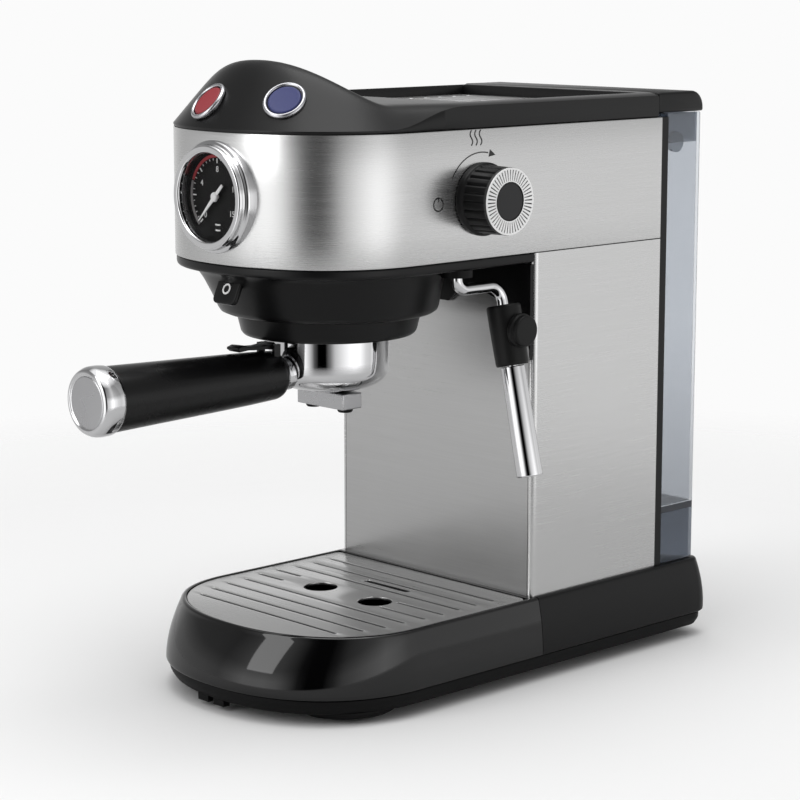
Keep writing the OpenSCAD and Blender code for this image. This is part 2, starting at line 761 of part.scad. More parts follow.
// ---------- gauge ----------
module about_gauge() {
  translate([0, gauge_y, gauge_z])
    rotate([-90, 0, 0])
      children();
}
module gauge_can() color([0.08, 0.08, 0.08]) {
  about_gauge()
    difference() {
      translate([0, 0, 5.4])
        cylinder(h = 24, r = gauge_r - 1.6, $fn = 96);
      translate([0, 0, 5])
        cylinder(h = 3.4, r = gauge_r - 3, $fn = 96);
    }
  about_gauge()
    translate([0, 0, 29])
      cylinder(h = 6, r = 5, $fn = 32);
}
module gauge_dial() color([0.05, 0.05, 0.05]) {
  about_gauge()
    difference() {
      union() {
        translate([0, 0, 7.6])
          cylinder(h = 0.8, r = gauge_r - 3.05, $fn = 96);
        // raised scale marks, from seven o'clock round to five o'clock
        for (i = [0:10])
          rotate([0, 0, 135 + i * 27])
            translate([gauge_r - 8, -0.4, 7.4])
              cube([4, 0.8, 0.4]);
      }
      translate([0, 0, 7])
        cylinder(h = 3, r = 1 + fit_c, $fn = 24);
    }
}
module gauge_bezel() color([0.85, 0.85, 0.85]) {
  about_gauge()
    rotate_extrude($fn = 96)
      polygon([[gauge_r - 4, 0.6], [gauge_r - 3.2, 0], [gauge_r - 0.8, 0], [gauge_r, 0.8],
        [gauge_r, 3], [gauge_r + 1.9, 4], [gauge_r + 1.9, 16], [gauge_r - 1.5, 16],
        [gauge_r - 1.5, 5.3], [gauge_r - 3, 5.3], [gauge_r - 3, 2.4], [gauge_r - 4, 2.4]]);
}
module gauge_glass() color([0.9, 0.95, 1, 0.35]) {
  about_gauge()
    translate([0, 0, 2.5])
      cylinder(h = 1.5, r = gauge_r - 3.05, $fn = 96);
}
module gauge_needle() color([0.95, 0.95, 0.95]) {
  about_gauge() {
    translate([0, 0, 4.8])
      cylinder(h = 3.2, r = 1, $fn = 24);
    translate([0, 0, 4.8])
      cylinder(h = 1.2, r = 2.4, $fn = 32);
    // pointer at seven o'clock, short tail opposite
    rotate([0, 0, 135])
      translate([0, 0, 5.1])
        linear_extrude(0.6)
          polygon([[-8, -0.9], [-8, 0.9], [0, 1.2], [gauge_r - 8, 0.3], [gauge_r - 8, -0.3],
            [0, -1.2]]);
  }
}

// ---------- buttons ----------
module button_rings() color([0.75, 0.75, 0.77]) {
  for (b = [[red_p, red_a], [blue_p, blue_a]])
    at_button(b[0], b[1])
      rotate_extrude($fn = 64)
        polygon([[cap_r + 0.3, -6], [ring_r - 1.55, -6], [ring_r - 1.55, -0.4],
          [ring_r, -0.4], [ring_r, 1], [ring_r - 0.6, 1.8], [cap_r + 0.8, 1.8],
          [cap_r + 0.3, 1.3]]);
}
module button_cap(p, a) {
  at_button(p, a) {
    translate([0, 0, -4.5])
      cylinder(h = 5.6, r = cap_r, $fn = 64);
    translate([0, 0, -8])
      cylinder(h = 4, r = 2, $fn = 24);
  }
}
module button_red() color([0.56, 0.2, 0.23]) {
  button_cap(red_p, red_a);
}
module button_blue() color([0.22, 0.25, 0.42]) {
  button_cap(blue_p, blue_a);
}
module button_switches() color([0.12, 0.12, 0.14]) {
  for (b = [[red_p, red_a], [blue_p, blue_a]])
    at_button(b[0], b[1])
      difference() {
        translate([-7, -7, -8 - cap_travel - 5.3])
          cube([14, 14, 5]);
        translate([0, 0, -8 - cap_travel - 1.3])
          cylinder(h = 2, r = 3, $fn = 24);
      }
}

// ---------- steam knob ----------
module about_knob() {
  translate([hw, knob_y, knob_z])
    rotate([0, 90, 0])
      children();
}
module steam_knob() color([0.06, 0.06, 0.06]) {
  about_knob() {
    translate([0, 0, 0.4])
      cylinder(h = 3.6, r = knob_r + 1.2, $fn = 96);
    translate([0, 0, 4])
      linear_extrude(knob_len - 6)
        difference() {
          circle(r = knob_r, $fn = 96);
          for (i = [0:knob_flutes - 1])
            rotate([0, 0, i * 360 / knob_flutes])
              translate([knob_r + 0.7, 0])
                circle(r = 1.2, $fn = 16);
        }
    // spindle into the valve
    translate([0, 0, -18])
      cylinder(h = 19, r = 3, $fn = 32);
  }
}
module knob_ring() color([0.9, 0.9, 0.9]) {
  about_knob()
    difference() {
      translate([0, 0, knob_len - 2 + eps])
        cylinder(h = 2, r = knob_r - 0.3, $fn = 96);
      translate([0, 0, knob_len - 3])
        cylinder(h = 4, r = knob_r * 0.56 + fit_c, $fn = 64);
      for (i = [0:47])
        rotate([0, 0, i * 7.5])
          translate([knob_r * 0.6, -0.3, knob_len - 0.4])
            cube([knob_r * 0.33, 0.6, 1]);
    }
}
module knob_disc() color([0.2, 0.2, 0.21]) {
  about_knob()
    translate([0, 0, knob_len - 2 + eps])
      cylinder(h = 1.8, r = knob_r * 0.56, $fn = 64);
}

// ---------- steam wand ----------
wl = [sin(wand_lean), 0, -cos(wand_lean)];
grip_drop = 10.2;
grip_p = [wand_x + grip_drop * sin(wand_lean), grip_y, pipe_z - grip_drop * cos(wand_lean)];
pipe_down = wand_grip_len + 24;
module wand_pivot() color([0.1, 0.1, 0.1]) {
  translate([wand_x, wand_y, head_z - 9])
    difference() {
      union() {
        cylinder(h = 9, r = 7, $fn = 40);
        translate([0, 0, -0.1])
          cylinder(h = 3.8, r = 8, $fn = 40);
      }
      translate([0, 0, -1])
        cylinder(h = 12, r = pipe_r + fit_c, $fn = 40);
    }
}
// Points of a quarter bend of radius r about c, from direction u to direction v
function bend(c, u, v, r, k = 6) = [for (i = [0:k]) c + r * (u * cos(90 * i / k) + v * sin(90 * i / k))];
module wand_pipe() color([0.85, 0.85, 0.85]) {
  // down out of the pivot, level toward the rear, then down along the lean
  run(concat([[wand_x, wand_y, head_z - 3]],
    bend([wand_x, wand_y + 6, pipe_z + 6], [0, -1, 0], [0, 0, -1], 6),
    bend([wand_x, grip_y - 8, pipe_z] + wl * 8, -wl, [0, 1, 0], 8),
    [[wand_x, grip_y, pipe_z] + wl * (8 + pipe_down)]), pipe_r, 24);
}
module along_wand() {
  translate(grip_p)
    rotate([0, 180 - wand_lean, 0])
      children();
}
module wand_grip() color([0.07, 0.07, 0.07]) {
  difference() {
    union() {
      along_wand()
        cylinder(h = wand_grip_len, r1 = 8.8, r2 = 8.4, $fn = 64);
      // thumb tab for turning the hot pipe
      translate(grip_p + wl * 12)
        rotate([0, 90, 0]) {
          cylinder(h = 10, r = 6, $fn = 48);
          translate([0, 0, 8])
            cylinder(h = 3.4, r = 8.7, $fn = 64);
          translate([0, 0, 11.3])
            cylinder(h = 3, r = 8, $fn = 64);
        }
    }
    along_wand()
      translate([0, 0, -1])
        cylinder(h = wand_grip_len + 2, r = pipe_r, $fn = 40);
  }
}
module wand_sleeve() color([0.85, 0.85, 0.85]) {
  along_wand()
    translate([0, 0, wand_grip_len + 0.3])
      difference() {
        cylinder(h = wand_sleeve_len, r1 = 6.2, r2 = 6.8, $fn = 64);
        translate([0, 0, -1])
          cylinder(h = 26, r = pipe_r + fit_c, $fn = 40);
        translate([0, 0, 24])
          cylinder(h = wand_sleeve_len, r = 3.6, $fn = 40);
      }
}

// ---------- portafilter ----------
module portafilter_body() color([0.86, 0.86, 0.86]) {
  translate([0, gy, 0]) {
    rotate_extrude($fn = 128)
      polygon([[4, pf_z - 4], [12, pf_z - 3.4], [21, pf_z - 1.2], [27, pf_z + 1.6],
        [pf_r - 1, pf_z + 5], [pf_r - 0.2, pf_z + 8], [pf_r, pf_z + 12],
        [pf_r, group_z + 19.6], [pf_r - 4, group_z + 19.6], [pf_r - 4, pf_z + 6],
        [pf_r - 9, pf_z + 3], [4, pf_z + 1]]);
    // two locking lugs
    for (s = [-20, 160])
      rotate([0, 0, s])
        rotate_extrude(angle = 40, $fn = 96)
          translate([pf_r - 1, group_z + 9])
            square([6, 4.6]);
  }
  // neck to the handle
  translate([0, gy - pf_r + 2.2, hz])
    rotate([90, 0, 0])
      rotate([0, 0, 30])
        cylinder(h = 6.7, r = 8.5, $fn = 48);
}
module filter_basket() color([0.8, 0.8, 0.82]) {
  translate([0, gy, 0])
    difference() {
      union() {
        translate([0, 0, pf_z + 12])
          cylinder(h = group_z - pf_z + 7.6, r1 = pf_r - 6.5, r2 = pf_r - 4.2, $fn = 96);
      }
      translate([0, 0, pf_z + 13])
        cylinder(h = 80, r1 = pf_r - 7.4, r2 = pf_r - 5, $fn = 96);
      for (k = [1:2], i = [0:8 * k - 1])
        rotate([0, 0, i * 45 / k])
          translate([k * 8, 0, pf_z])
            cylinder(h = 20, r = 0.9, $fn = 16);
    }
}
module spout_block() color([0.84, 0.84, 0.84]) {
  translate([0, gy, 0])
    difference() {
      union() {
        translate([-17.5, -6.5, pf_z - 12])
          cube([35, 13, 8]);
        translate([0, 0, pf_z - 5])
          cylinder(h = 7, r = 3.9, $fn = 32);
      }
      translate([0, 0, pf_z - 8])
        cylinder(h = 12, r = 2.5, $fn = 24);
      for (x = [-1, 1])
        translate([x * 12, 0, pf_z - 14])
          cylinder(h = 8, r = 2.6, $fn = 24);
      translate([-13, -2, pf_z - 9])
        cube([26, 4, 3]);
    }
}
module spout_tips() color([0.05, 0.05, 0.05]) {
  for (x = [-1, 1])
    translate([x * 12, gy, pf_z - 14])
      difference() {
        union() {
          cylinder(h = 2, r = 4, $fn = 40);
          cylinder(h = 5, r = 2.6 - fit_c, $fn = 32);
        }
        translate([0, 0, -1])
          cylinder(h = 10, r = 1.6, $fn = 24);
      }
}
module about_handle() {
  translate([0, gy - pf_r - 4.5, hz])
    rotate([90, 0, 0])
      children();
}
module handle_grip() color([0.05, 0.05, 0.05]) {
  about_handle()
    rotate_extrude($fn = 96)
      polygon([[4.2, 0], [grip_r0 - 3, 0], [grip_r0 - 0.9, 0.9], [grip_r0, 3],
        [grip_r0 + 0.9, 20], [grip_r0 + 1.6, 40], [grip_r - 1.3, 66], [grip_r, grip_len],
        [4.2, grip_len]]);
  // ears and pin of the basket clip
  for (x = [-1, 1])
    translate([x * 5.9 - 0.9, clip_y - 2, hz + grip_r0 - 4])
      cube([1.8, 4, 8.2]);
  translate([-6, clip_y, clip_z])
    rotate([0, 90, 0])
      cylinder(h = 12, r = 0.8, $fn = 24);
}
module handle_cap() color([0.86, 0.86, 0.86]) {
  about_handle()
    union() {
      translate([0, 0, grip_len + 0.02])
        rotate_extrude($fn = 96)
          polygon([[0, 0], [grip_r + 0.1, 0], [grip_r + 0.9, 1.5], [grip_r + 1.1, 6],
            [grip_r + 0.7, 9], [grip_r - 0.6, 11], [grip_r - 2.6, 11.8],
            [grip_r - 3.4, 10.8], [0, 10.8]]);
      // tie rod through the grip into the neck
      translate([0, 0, 0.02])
        cylinder(h = grip_len, r = 4, $fn = 32);
    }
}
clip_y = gy - pf_r - 9.5;
clip_z = hz + grip_r0 + 3;
module basket_clip() color([0.05, 0.05, 0.05]) {
  // flap that swings over the basket's rim when the grounds are knocked out
  translate([0, clip_y, clip_z])
    difference() {
      union() {
        rotate([0, 90, 0])
          translate([0, 0, -4.5])
            cylinder(h = 9, r = 1.9, $fn = 32);
        translate([-4.5, -22, -0.9])
          cube([9, 22, 1.8]);
        translate([-4.5, -22, 0.4])
          rotate([0, 90, 0])
            cylinder(h = 9, r = 1.6, $fn = 32);
      }
      rotate([0, 90, 0])
        translate([0, 0, -6])
          cylinder(h = 12, r = 0.8 + fit_c, $fn = 24);
    }
}

// ---------- tank ----------
module tank_plan(o) {
  a = hw - 0.5 - o;
  r = tank_r - o;
  polygon(concat([[a, tank_y0 + o], [-a, tank_y0 + o]],
    [for (i = [0:9]) [-a + r - r * cos(i * 10), tank_y1 - o - r + r * sin(i * 10)]],
    [for (i = [9:-1:0]) [a - r + r * cos(i * 10), tank_y1 - o - r + r * sin(i * 10)]]));
}
ty = (tank_y0 + tank_y1) / 2;
hinge_y = tank_y1 - 2.2;
hinge_z = head_top + 4.4;
module water_tank() color([0.62, 0.68, 0.75, 0.4]) {
  difference() {
    slab(base_top + 0.4, head_top - base_top + 1.2)
      tank_plan(0);
    slab(base_top + 32, 400)
      tank_plan(2);
    slab(base_top - 1, 29.5)
      tank_plan(2);
    translate([0, ty, base_top + 20])
      cylinder(h = 30, r = 7, $fn = 48);
  }
  // hinge pins for the lid
  for (x = [-1, 1])
    translate([x * 38, hinge_y, hinge_z]) {
      rotate([0, 90, 0])
        translate([0, 0, -4])
          cylinder(h = 8, r = 1.2, $fn = 24);
      translate([x * 4 - 1, -1.6, -7.4])
        cube([2, 2.8, 8.6]);
    }
}
module tank_lid() color([0.06, 0.06, 0.06]) {
  z0 = head_top + 2;
  difference() {
    union() {
      difference() {
        lid_body(0, 0);
        lid_body(wall, 1);
        // relief that lets the rear edge swing down past the tank rim
        translate([-hw, hinge_y - 0.5, z0 - 1])
          cube([body_w, 10, hinge_z - z0 + 1]);
      }
      for (x = [-1, 1])
        translate([x * 37 - 2, hinge_y, hinge_z])
          rotate([0, 90, 0])
            cylinder(h = 4, r = 2.1, $fn = 32);
      for (x = [-1, 1])
        translate([x * 37 - 2, hinge_y - 1, hinge_z + 1.3])
          cube([4, 1.6, 2.9]);
    }
    for (x = [-1, 1])
      translate([x * 37 - 5, hinge_y, hinge_z])
        rotate([0, 90, 0])
          cylinder(h = 10, r = 1.2 + fit_c, $fn = 24);
    // notches that clear the tank's hinge ears
    for (x = [-1, 1])
      translate([x * 42 - 1.7, hinge_y - 2.4, z0 - 1])
        cube([3.4, 8, hinge_z + 3.2 - z0]);
  }
}
// lid block with its rounded rear edge, o inside the outer faces and dz longer below
module lid_body(o, dz) {
  z0 = head_top + 2;
  z1 = z0 + lid_h - o;
  y1 = tank_y1 - o;
  r = lid_round - o;
  intersection() {
    slab(z0 - dz, lid_h + dz)
      lid_plan(o);
    translate([-hw, 0, 0])
      rotate([90, 0, 90])
        linear_extrude(body_w)
          polygon(concat([[lid_y0 + o, z0 - dz], [y1, z0 - dz]],
            [for (i = [0:9]) [y1 - r + r * cos(i * 10), z1 - r + r * sin(i * 10)]],
            [[lid_y0 + o, z1]]));
  }
}

module lid_plan(o) {
  a = hw - 0.2 - o;
  r = tank_r - o;
  polygon(concat([[a, lid_y0 + o], [-a, lid_y0 + o]],
    [for (i = [0:9]) [-a + r - r * cos(i * 10), tank_y1 - o - r + r * sin(i * 10)]],
    [for (i = [9:-1:0]) [a - r + r * cos(i * 10), tank_y1 - o - r + r * sin(i * 10)]]));
}
module tank_valve() color([0.12, 0.12, 0.12]) {
  translate([0, ty, base_top])
    difference() {
      union() {
        translate([0, 0, 3.2])
          cylinder(h = 28.9, r = 7 - fit_c, $fn = 48);
        translate([0, 0, 32])
          cylinder(h = 1.6, r = 9, $fn = 48);
      }
      translate([0, 0, 2])
        cylinder(h = 26, r = 5.5, $fn = 48);
      translate([0, 0, 2])
        cylinder(h = 40, r = 2.5, $fn = 32);
    }
}
module valve_plunger() color([0.6, 0.6, 0.6]) {
  translate([0, ty, base_top])
    union() {
      translate([0, 0, 3.4])
        cylinder(h = 24.6, r = 1.5, $fn = 24);
      translate([0, 0, 18])
        cylinder(h = 3, r = 5.2, $fn = 40);
      translate([0, 0, 27])
        cylinder(h = 8, r = 2.3, $fn = 32);
    }
}
module tank_grip() color([0.55, 0.58, 0.62]) {
  translate([hw - 16, tank_y0 + 2, head_top - 18])
    union() {
      cube([12, 9, 7]);
      translate([9, 9, 3.5])
        rotate([0, 90, 0])
          cylinder(h = 3, r = 5.5, $fn = 40);
    }
}

base_plate();
base_housing();
foot_pads();
base_screws();
chassis();
front_panel();
side_panel_right();
side_panel_left();
rear_cover();
head_bracket();
head_band();
top_cover();
cup_grille();
group_housing();
lock_mark();
group_collar();
group_gasket();
shower_screen();
shower_screw();
thermoblock();
pump();
pump_mounts();
solenoid_valve();
steam_valve();
inlet_hose();
brew_hose();
steam_hose();
control_board();
tank_seat();
cord_gland();
gauge_can();
gauge_dial();
gauge_bezel();
gauge_glass();
gauge_needle();
button_rings();
button_red();
button_blue();
button_switches();
steam_knob();
knob_ring();
knob_disc();
wand_pivot();
wand_pipe();
wand_grip();
wand_sleeve();
portafilter_body();
filter_basket();
spout_block();
spout_tips();
handle_grip();
handle_cap();
basket_clip();
drip_tray();
drip_grid();
water_tank();
tank_lid();
tank_valve();
valve_plunger();
tank_grip();
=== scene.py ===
import math
import bmesh
import bpy
import numpy as np
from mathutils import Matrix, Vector


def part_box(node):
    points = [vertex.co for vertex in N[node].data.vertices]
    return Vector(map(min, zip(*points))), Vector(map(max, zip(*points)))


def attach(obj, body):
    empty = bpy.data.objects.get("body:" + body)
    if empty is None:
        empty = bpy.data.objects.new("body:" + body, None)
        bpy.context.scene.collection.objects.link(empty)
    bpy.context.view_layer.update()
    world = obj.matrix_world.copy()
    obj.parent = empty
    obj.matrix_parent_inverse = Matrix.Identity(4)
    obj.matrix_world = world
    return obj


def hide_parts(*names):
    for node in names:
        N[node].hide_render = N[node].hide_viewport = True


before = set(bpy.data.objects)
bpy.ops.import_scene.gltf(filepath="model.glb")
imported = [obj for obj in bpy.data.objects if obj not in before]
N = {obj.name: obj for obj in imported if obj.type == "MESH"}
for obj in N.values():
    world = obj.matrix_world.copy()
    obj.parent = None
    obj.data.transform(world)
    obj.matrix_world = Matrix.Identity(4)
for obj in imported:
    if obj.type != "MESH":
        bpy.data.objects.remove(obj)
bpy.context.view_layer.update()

MM = 0.001


def box(node):
    lo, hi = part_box(node)
    return [v / MM for v in lo], [v / MM for v in hi]


# ---------- camera ----------
CAMERA_LENS = 108.55
CAMERA_DOWN = 10.082
CAMERA_ROUND = 46.351
CAMERA_AT = (0.905759, -0.880454, 0.36453)
cam = bpy.data.objects.new("camera", bpy.data.cameras.new("camera"))
bpy.context.scene.collection.objects.link(cam)
cam.data.lens = CAMERA_LENS
cam.data.sensor_width = 36
cam.data.clip_end = 50
cam.location = CAMERA_AT
cam.rotation_euler = (math.radians(90 - CAMERA_DOWN), 0, math.radians(CAMERA_ROUND))
bpy.context.scene.camera = cam

# ---------- sizes read from the frame, in mm ----------
(_, NOSE, HEAD_Z), (HW, COL_R, HEAD_T) = box("head_band")
COL_F = box("front_panel")[0][1]
BASE_T = box("front_panel")[0][2]
TRAY = box("drip_tray")
PLATE = box("base_plate")
TANK = box("water_tank")
LID = box("tank_lid")
NOSE_LEN = 63.5
NOSE_C = NOSE + NOSE_LEN
NOSE_N = 2.2
RIM = 13.0
DOME = 48.0
DOME_SLOPE = 1.3
DOME_CREST = 10.3
DOME_FALL = 50
DOME_BLEND = 5.3
STEEL_T = 1.2
GROUP_BACK = 75
SPOUT_H = 12
GY = COL_F - GROUP_BACK
GROUP_Z = box("group_housing")[0][2]
PF_Z = box("spout_block")[0][2] + SPOUT_H
HZ = PF_Z + 8


# ---------- node helpers ----------
def material(name):
    m = bpy.data.materials.new(name)
    m.use_nodes = True
    nt = m.node_tree
    b = nt.nodes["Principled BSDF"]
    return m, nt, b


def coords(nt, scale=(1, 1, 1)):
    t = nt.nodes.new("ShaderNodeTexCoord")
    m = nt.nodes.new("ShaderNodeMapping")
    m.inputs["Scale"].default_value = scale
    nt.links.new(t.outputs["Object"], m.inputs["Vector"])
    return m.outputs["Vector"]


def noise(nt, vec, scale, detail=4, rough=0.5):
    n = nt.nodes.new("ShaderNodeTexNoise")
    n.inputs["Scale"].default_value = scale
    n.inputs["Detail"].default_value = detail
    n.inputs["Roughness"].default_value = rough
    nt.links.new(vec, n.inputs["Vector"])
    return n.outputs["Fac"]


def ramp(nt, fac, lo, hi, a=0.0, b=1.0):
    """Map a factor from a..b to lo..hi."""
    r = nt.nodes.new("ShaderNodeMapRange")
    r.inputs["From Min"].default_value = a
    r.inputs["From Max"].default_value = b
    r.inputs["To Min"].default_value = lo
    r.inputs["To Max"].default_value = hi
    nt.links.new(fac, r.inputs["Value"])
    return r.outputs["Result"]


def tint(nt, fac, c0, c1):
    m = nt.nodes.new("ShaderNodeMix")
    m.data_type = "RGBA"
    m.inputs[6].default_value = (*c0, 1)
    m.inputs[7].default_value = (*c1, 1)
    nt.links.new(fac, m.inputs["Factor"])
    return m.outputs[2]


def bump(nt, b, heights):
    """Stack bump layers, each (height, strength, distance)."""
    prev = None
    for h, s, d in heights:
        n = nt.nodes.new("ShaderNodeBump")
        n.inputs["Strength"].default_value = s
        n.inputs["Distance"].default_value = d
        nt.links.new(h, n.inputs["Height"])
        if prev is not None:
            nt.links.new(prev, n.inputs["Normal"])
        prev = n.outputs["Normal"]
    nt.links.new(prev, b.inputs["Normal"])


def steel(name, grain, tone=0.6, rough=0.25, aniso=0.5, streak=1.0):
    """Brushed steel; grain is the mapping scale, small along the brushing."""
    m, nt, b = material(name)
    b.inputs["Metallic"].default_value = 1
    b.inputs["Anisotropic"].default_value = aniso
    v = coords(nt, grain)
    fine = noise(nt, v, 1.0, 3, 0.6)
    broad = noise(nt, coords(nt, tuple(g * 0.16 for g in grain)), 1.0, 2)
    smudge = noise(nt, coords(nt, (9, 9, 9)), 1.0, 4)
    mix = nt.nodes.new("ShaderNodeMath")
    mix.operation = "MULTIPLY_ADD"
    mix.inputs[1].default_value = 0.6
    nt.links.new(fine, mix.inputs[0])
    nt.links.new(ramp(nt, broad, 0.1, 0.3), mix.inputs[2])
    lo = tone - 0.035 * streak
    hi = tone + 0.035 * streak
    c = tint(nt, ramp(nt, mix.outputs[0], 0, 1, 0.25, 0.75), (lo, lo, lo * 0.995), (hi, hi, hi))
    nt.links.new(c, b.inputs["Base Color"])
    add = nt.nodes.new("ShaderNodeMath")
    add.operation = "ADD"
    nt.links.new(ramp(nt, mix.outputs[0], rough - 0.05, rough + 0.06, 0.2, 0.8), add.inputs[0])
    nt.links.new(ramp(nt, smudge, -0.02, 0.03, 0.3, 0.7), add.inputs[1])
    nt.links.new(add.outputs[0], b.inputs["Roughness"])
    bump(nt, b, [(fine, 0.16 * streak, 0.00005), (broad, 0.04 * streak, 0.00005)])
    if aniso:
        t = nt.nodes.new("ShaderNodeTangent")
        t.direction_type = "RADIAL"
        t.axis = "Z"
        nt.links.new(t.outputs["Tangent"], b.inputs["Tangent"])
    return m


def plastic(name, col, rough, grit=0.0, coat=0.0, spec=0.5, speck=0.15, coat_rough=0.05):
    """Moulded plastic with a faint texture, uneven gloss and slight colour variation."""
    m, nt, b = material(name)
    b.inputs["Specular IOR Level"].default_value = spec
    b.inputs["Coat Weight"].default_value = coat
    b.inputs["Coat Roughness"].default_value = coat_rough
    cloud = noise(nt, coords(nt, (1, 1, 1)), 14, 4)
    grain = noise(nt, coords(nt, (1, 1, 1)), 2600, 2)
    f = 1 + speck
    c = tint(nt, ramp(nt, cloud, 0, 1, 0.3, 0.7), tuple(v / f for v in col), tuple(v * f for v in col))
    nt.links.new(c, b.inputs["Base Color"])
    nt.links.new(ramp(nt, cloud, max(0.02, rough * 0.88), rough * 1.12, 0.25, 0.75), b.inputs["Roughness"])
    bump(nt, b, [(grain, grit, 0.00006), (cloud, 0.04, 0.0003)])
    return m


def metal(name, col, rough, swirl=0.5):
    """Polished or cast metal with fine polishing marks and smudges."""
    m, nt, b = material(name)
    b.inputs["Metallic"].default_value = 1
    marks = noise(nt, coords(nt, (60, 60, 60)), 6, 5, 0.7)
    smudge = noise(nt, coords(nt, (1, 1, 1)), 22, 4)
    c = tint(nt, ramp(nt, smudge, 0, 1, 0.3, 0.7), tuple(v * 0.96 for v in col), col)
    nt.links.new(c, b.inputs["Base Color"])
    nt.links.new(ramp(nt, smudge, rough * 0.75, rough * 1.35, 0.25, 0.75), b.inputs["Roughness"])
    bump(nt, b, [(marks, 0.05 * swirl, 0.00004)])
    return m


M = {}
M["steel_h"] = steel("steel_brushed_level", (40, 40, 4200))
M["steel_front"] = steel("steel_brushed_front", (40, 40, 4200), tone=0.5, rough=0.3, aniso=0.5)
M["steel_grid"] = steel("steel_brushed_grid", (40, 3600, 3600), tone=0.6, rough=0.28, aniso=0.0, streak=0.8)
M["steel_plain"] = steel("steel_plain", (300, 300, 300), tone=0.6, rough=0.3, aniso=0.0, streak=0.5)
M["chrome"] = metal("chrome_polished", (0.7, 0.7, 0.71), 0.05)
M["chrome_soft"] = metal("chrome_soft", (0.5, 0.5, 0.51), 0.26, 1.2)
M["cast"] = metal("cast_aluminium", (0.5, 0.51, 0.52), 0.45, 3)
M["brass"] = metal("brass", (0.62, 0.47, 0.22), 0.35, 2)
M["zinc"] = metal("zinc_steel", (0.5, 0.52, 0.53), 0.38, 2)
M["gloss"] = plastic("black_gloss", (0.0016, 0.0016, 0.0018), 0.05, 0.0, 0.0, 0.55, 0.2)
M["satin"] = plastic("black_satin", (0.0035, 0.0035, 0.0038), 0.34, 0.08, 0.0, 0.24)
M["cover"] = plastic("black_cover", (0.004, 0.004, 0.0042), 0.34, 0.1, 0.0, 0.28)
M["matte"] = plastic("black_matte", (0.004, 0.004, 0.0042), 0.5, 0.2, 0.0, 0.15)
M["rubber"] = plastic("rubber_black", (0.005, 0.005, 0.005), 0.45, 0.15, 0.0, 0.22)
M["handle"] = plastic("handle_black", (0.0025, 0.0025, 0.0027), 0.28, 0.06, 0.0, 0.3)
M["gasket"] = plastic("gasket_red", (0.32, 0.05, 0.04), 0.6, 0.2)
M["red"] = plastic("cap_red", (0.25, 0.03, 0.038), 0.45, 0.05, 0.0, 0.3)
M["blue"] = plastic("cap_blue", (0.035, 0.042, 0.14), 0.45, 0.05, 0.0, 0.3)
M["silver"] = metal("silver_ring", (0.52, 0.52, 0.54), 0.25)
M["knob_dark"] = plastic("knob_groove_grey", (0.03, 0.03, 0.03), 0.4, 0.05, spec=0.3)
M["knob_face"] = plastic("knob_face_white", (0.9, 0.9, 0.9), 0.34, 0.04, 0.15)
M["grey"] = plastic("dark_grey", (0.018, 0.018, 0.019), 0.5, 0.15, spec=0.3)
M["dial"] = plastic("dial_black", (0.003, 0.003, 0.003), 0.5, 0.05, spec=0.15)
M["white"] = plastic("print_white", (0.92, 0.92, 0.92), 0.5, 0.02, speck=0.03)
M["scale_grey"] = plastic("print_grey", (0.25, 0.24, 0.24), 0.5, 0.02)
M["scale_red"] = plastic("print_red", (0.45, 0.04, 0.05), 0.5, 0.02)
M["ink"] = plastic("print_black", (0.01, 0.01, 0.01), 0.5, 0.02)
M["board"] = plastic("board_green", (0.02, 0.1, 0.04), 0.5, 0.1)
M["hose"] = plastic("hose_clear", (0.6, 0.62, 0.64), 0.35, 0.05)
M["pump"] = plastic("pump_black", (0.03, 0.03, 0.034), 0.5, 0.2)
M["tank_dark"] = plastic("tank_floor_dark", (0.03, 0.034, 0.045), 0.3, 0.02)
M["tank_grey"] = plastic("tank_grey", (0.3, 0.33, 0.37), 0.4, 0.05)


def clear(name, col, rough, ior, trans, alpha=1.0):
    """Clear or smoked plastic, or glass."""
    m, nt, b = material(name)
    b.inputs["IOR"].default_value = ior
    b.inputs["Transmission Weight"].default_value = trans
    b.inputs["Alpha"].default_value = alpha
    cloud = noise(nt, coords(nt, (1, 1, 1)), 9, 3)
    c = tint(nt, cloud, tuple(v * 0.95 for v in col), tuple(min(1, v * 1.04) for v in col))
    nt.links.new(c, b.inputs["Base Color"])
    nt.links.new(ramp(nt, cloud, rough * 0.7, rough * 1.3, 0.3, 0.7), b.inputs["Roughness"])
    return m


M["tank"] = clear("tank_smoke", (0.76, 0.785, 0.82), 0.12, 1.12, 0.9)
M["tank_skirt"] = clear("tank_smoke_dark", (0.34, 0.37, 0.42), 0.2, 1.12, 0.8)
M["glass"] = clear("gauge_glass_clear", (0.02, 0.02, 0.02), 0.02, 1.3, 0.0, 0.06)


# ---------- mesh helpers (all in mm) ----------
def add(name, shape, mat, body, reps=(), slot=None, angle=35, bev=0, seg=2):
    """Make one piece from millimetre vertices, with its material, body and replaced nodes; slot is not used.
    """
    V, F = shape
    me = bpy.data.meshes.new(name)
    me.from_pydata([tuple(c * MM for c in v) for v in V], [], [tuple(int(i) for i in f) for f in F])
    me.validate()
    me.materials.append(M[mat])
    for p in me.polygons:
        p.use_smooth = True
    o = bpy.data.objects.new(name, me)
    bpy.context.scene.collection.objects.link(o)
    bm_normals(me)
    me.set_sharp_from_angle(angle=math.radians(angle))
    if bev:
        mod = o.modifiers.new("edge", "BEVEL")
        mod.width = bev * MM
        mod.segments = seg
        mod.limit_method = "ANGLE"
        mod.angle_limit = math.radians(40)
        mod.harden_normals = False
    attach(o, body)
    if reps:
        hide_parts(*reps)
    return o


def bm_normals(me):
    """Weld doubled vertices and turn the faces outward."""
    bm = bmesh.new()
    bm.from_mesh(me)
    bmesh.ops.remove_doubles(bm, verts=bm.verts, dist=1e-6)
    bmesh.ops.recalc_face_normals(bm, faces=bm.faces)
    bm.to_mesh(me)
    bm.free()


